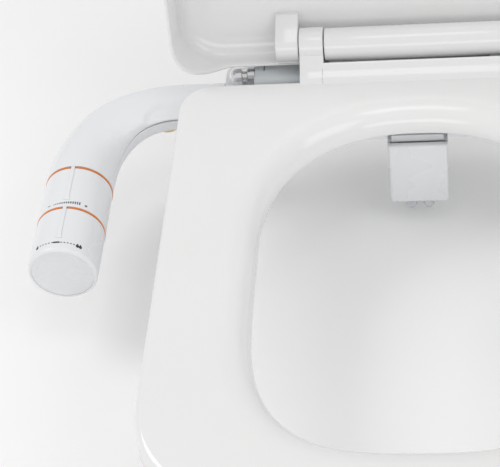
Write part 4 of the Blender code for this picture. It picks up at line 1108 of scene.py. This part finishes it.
class WASHSEAT_OT_nozzles(Operator):
    """Makes the nozzle guard and the two nozzles."""
    bl_idname = "washseat.nozzles"
    bl_label = "Nozzle block"

    def execute(self, context):
        self.make_guard()
        for side in ("left", "right"):
            self.make_nozzle(side)
        return {"FINISHED"}

    def make_guard(self):
        """A cover open at the back and behind the pin: a rounded cube given its wall inwards."""
        low, high = (Vector(corner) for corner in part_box("nozzle_guard"))
        top_round, wall = 0.0043, 0.0024
        built = bmesh.new()
        bmesh.ops.create_cube(built, size=1)
        bmesh.ops.scale(built, vec=high - low, verts=built.verts)
        bmesh.ops.translate(built, vec=(low + high) / 2, verts=built.verts)
        front_top = [e for e in built.edges
                     if all(v.co.y < low.y + 1e-5 and v.co.z > high.z - 1e-5 for v in e.verts)]
        front_sides = [e for e in built.edges if all(v.co.y < low.y + 1e-5 for v in e.verts)
                       and abs(e.verts[0].co.x - e.verts[1].co.x) < 1e-5]
        front_low = [e for e in built.edges
                     if all(v.co.y < low.y + 1e-5 and v.co.z < low.z + 1e-5 for v in e.verts)]
        corners = [e for e in built.edges if abs(e.verts[0].co.y - e.verts[1].co.y) > 1e-3
                   and e.verts[0].co.z < low.z + 1e-5]
        bmesh.ops.bevel(built, geom=front_top + front_sides + front_low + corners, offset=0.0030,
                        offset_type="OFFSET", segments=6, profile=0.5, affect="EDGES", clamp_overlap=True,
                        material=-1)
        pin_y = low.y + top_round
        bmesh.ops.bisect_plane(built, geom=built.verts[:] + built.edges[:] + built.faces[:], dist=1e-7,
                               plane_co=(0, pin_y, 0), plane_no=(0, 1, 0))
        gone = [f for f in built.faces if f.normal.y > 0.9
                or (f.normal.z > 0.9 and f.calc_center_median().y > pin_y)]
        bmesh.ops.delete(built, geom=gone, context="FACES")
        bmesh.ops.recalc_face_normals(built, faces=built.faces)
        if built.faces[:][0].normal.dot(built.faces[:][0].calc_center_median() - (low + high) / 2) < 0:
            bmesh.ops.reverse_faces(built, faces=built.faces)
        bmesh.ops.solidify(built, geom=built.faces[:], thickness=wall)
        guard = piece("nozzle_guard_moulding", built, block_satin(), "guard", ["nozzle_guard"], angle=35)

    def make_nozzle(self, side):
        """A round-bottomed spray tip with its collar, and three dark grey discs painted as the shade inside
        its spray holes.
        """
        low, high = (Vector(corner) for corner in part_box(f"nozzle_{side}"))
        radius, collar = 0.0045, 0.0056
        x, y = (low.x + high.x) / 2, (low.y + high.y) / 2
        bottom = low.z
        profile = [(0, bottom)] + [(radius * math.sin(math.radians(a)),
                                    bottom + radius * (1 - math.cos(math.radians(a))))
                                   for a in range(10, 91, 10)]
        profile += [(radius, bottom + 0.0085), (radius - 0.0003, bottom + 0.0088),
                    (radius, bottom + 0.0091),
                    (radius, high.z - 0.0040), (collar, high.z - 0.0036), (collar, high.z - 0.0004),
                    (collar - 0.0004, high.z), (0.0016, high.z), (0.0016, bottom + 0.004),
                    (0, bottom + 0.003)]
        nozzle = piece(f"nozzle_tip_{side}", lathe(profile, (x, y, 0), "Z", 48), nozzle_milk(),
                       f"{side}_nozzle",
                       [f"nozzle_{side}"], angle=35)
        for i in range(3):
            around = math.radians(-90 + 26 * (i - 1))
            centre = Vector((x + math.cos(around) * radius * 0.72, y + math.sin(around) * radius * 0.72,
                             bottom + radius * 0.32))
            out = (centre - Vector((x, y, bottom + radius))).normalized()
            # Each hole is a dark grey disc on the tip's skin: painted shade for the hole's inside.
            hole_shade_disc = lathe([(0, 0.00012), (0.00045, 0.00012), (0.00045, -0.0004), (0, -0.0004)], (0, 0, 0),
                        "Z", 16)
            facing = out.to_track_quat("Z", "Y").to_matrix().to_4x4()
            turn = Matrix.Translation(Vector((x, y, bottom + radius)) + out * radius) @ facing
            piece(f"spray_hole_shade_disc_{side}_{i + 1}", hole_shade_disc, seam_grey(), f"{side}_nozzle", turn=turn)


# ---------------------------------------------------------------- the frame's other parts

def worn_finishes():
    """Which finish each part of the frame wears that stays as it is."""
    both = ("left", "right")
    return {
        arm_satin: ["base_plate", "base_cover"],
        block_satin: ["nozzle_housing"],
        inner_moulding: ["valve_body", "nozzle_manifold", "pressure_rotor", "mode_rotor", "lid_damper_body",
                         "seat_damper_body", "seat_bush",
                         "lid_bush"] + [f"wing_nut_{side}" for side in both],
        brushed_steel: ["guard_pin", "lid_damper_rotor", "seat_damper_rotor", "inlet_strainer"]
        + [f"{name}_{side}" for side in both for name in
           ("mounting_bolt", "adjuster_disc", "release_collar", "cover_screw", "nozzle_spring")],
        nickel_brass: ["inlet_spigot"],
        grey_rubber: [f"seat_bumper_{end}_{side}" for end in ("back", "front") for side in both]
        + [f"lid_bumper_{side}" for side in both],
        black_rubber: ["pressure_seal", "mode_seal"] + [f"rubber_washer_{side}" for side in both],
        hose_clear: ["nozzle_hose_rear", "nozzle_hose_front"],
    }


class WASHSEAT_OT_fittings(Operator):
    """Gives every part of the frame that keeps its shape its own finish."""
    bl_idname = "washseat.fittings"
    bl_label = "Fittings"

    def execute(self, context):
        for finish, names in worn_finishes().items():
            for name in names:
                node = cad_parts[name]
                node.data.materials.clear()
                node.data.materials.append(finish())
        return {"FINISHED"}


# ---------------------------------------------------------------- stage

# Name, place, aim, sides and watts of each light
SOFTBOXES = (("key_softbox", (-1.5, 0.2, 1.6), (0, -0.15, 0), (0.8, 0.8), 11),
             ("fill_softbox", (1.3, -0.9, 1.5), (0, -0.15, 0), (1.2, 1.2), 6),
             ("front_softbox", (0.0, -1.7, 0.55), (0, 0.1, 0.2), (1.6, 0.5), 4),
             ("top_softbox", (0.0, -0.35, 1.9), (0, -0.1, 0), (0.7, 0.5), 2))
ROOM_LIGHT = 0.69
CAMERA_LENS = 114.64
CAMERA_PLACE = (0.01923, -0.97266, 0.81888)
# The camera's right, up and backward directions
CAMERA_AXES = ((0.99220552, 0.06662388, -0.10530655), (0.02668996, 0.71184166, 0.70183267),
               (0.1217204, -0.69917288, 0.70451503))


def soft_light(name, place, aim, size, power):
    data = bpy.data.lights.new(name, "AREA")
    data.shape = "RECTANGLE"
    data.size, data.size_y = size
    data.energy = power
    made = bpy.data.objects.new(name, data)
    made.location = place
    made.rotation_euler = (Vector(aim) - Vector(place)).to_track_quat("-Z", "Y").to_euler()
    bpy.context.scene.collection.objects.link(made)
    return made


class WASHSEAT_OT_stage(Operator):
    """Makes the pale floor, the soft studio light and the camera."""
    bl_idname = "washseat.stage"
    bl_label = "Stage"

    def execute(self, context):
        stage = sizes().stage
        floor = bmesh.new()
        bmesh.ops.create_grid(floor, x_segments=2, y_segments=2, size=stage.floor_side / 2)
        bmesh.ops.translate(floor, vec=(0, 0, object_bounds()[0][2] - stage.floor_drop), verts=floor.verts)
        mesh = bpy.data.meshes.new("studio_floor")
        floor.to_mesh(mesh)
        floor.free()
        mesh.materials.append(moulded("floor_paper", (0.93, 0.93, 0.93), 0.85, 0.95, 0.01, relief=0.00002))
        made = bpy.data.objects.new("studio_floor", mesh)
        context.scene.collection.objects.link(made)
        made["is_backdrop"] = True
        world = bpy.data.worlds.new("studio")
        context.scene.world = world
        world.use_nodes = True
        world.node_tree.nodes["Background"].inputs["Color"].default_value = (1.0, 1.0, 1.0, 1)
        world.node_tree.nodes["Background"].inputs["Strength"].default_value = ROOM_LIGHT
        for light in SOFTBOXES:
            soft_light(*light)
        self.make_camera(context)
        context.scene.view_settings.view_transform = "Standard"
        return {"FINISHED"}

    def make_camera(self, context):
        data = bpy.data.cameras.new("camera")
        data.lens, data.sensor_width, data.sensor_fit = CAMERA_LENS, 36, "HORIZONTAL"
        data.clip_start, data.clip_end = 0.01, 50
        camera = bpy.data.objects.new("camera", data)
        camera.matrix_world = Matrix(CAMERA_AXES).transposed().to_4x4()
        camera.location = CAMERA_PLACE
        context.scene.collection.objects.link(camera)
        context.scene.camera = camera


# ---------------------------------------------------------------- panel and running

OPERATORS = (WASHSEAT_OT_seat, WASHSEAT_OT_lid, WASHSEAT_OT_hinge, WASHSEAT_OT_arm, WASHSEAT_OT_handle,
             WASHSEAT_OT_nozzles, WASHSEAT_OT_fittings, WASHSEAT_OT_stage)


class WASHSEAT_PT_panel(Panel):
    """Lists the pieces, the sizes and the colours of the washing seat."""
    bl_idname = "WASHSEAT_PT_panel"
    bl_label = "Washing Seat"
    bl_space_type = "VIEW_3D"
    bl_region_type = "UI"
    bl_category = "Washing Seat"

    def draw(self, context):
        layout = self.layout
        for operator in OPERATORS:
            layout.operator(operator.bl_idname)
        settings = context.scene.washing_seat
        layout.prop(settings, "around")
        for name in ("seat", "lid", "hinge", "arm", "handle", "colours", "stage"):
            box = layout.box()
            box.label(text=name.capitalize())
            group = getattr(settings, name)
            for label in group.__annotations__:
                box.prop(group, label)


CLASSES = (SeatSizes, LidSizes, HingeSizes, ArmSizes, HandleSizes, FinishColours, StageSizes, SeatSettings,
           *OPERATORS, WASHSEAT_PT_panel)


def register():
    for given in CLASSES:
        bpy.utils.register_class(given)
    bpy.types.Scene.washing_seat = PointerProperty(type=SeatSettings)


def unregister():
    del bpy.types.Scene.washing_seat
    for given in reversed(CLASSES):
        bpy.utils.unregister_class(given)


def main():
    register()
    for operator in OPERATORS:
        group, name = operator.bl_idname.split(".")
        getattr(getattr(bpy.ops, group), name)()


if __name__ == "__main__":
    main()
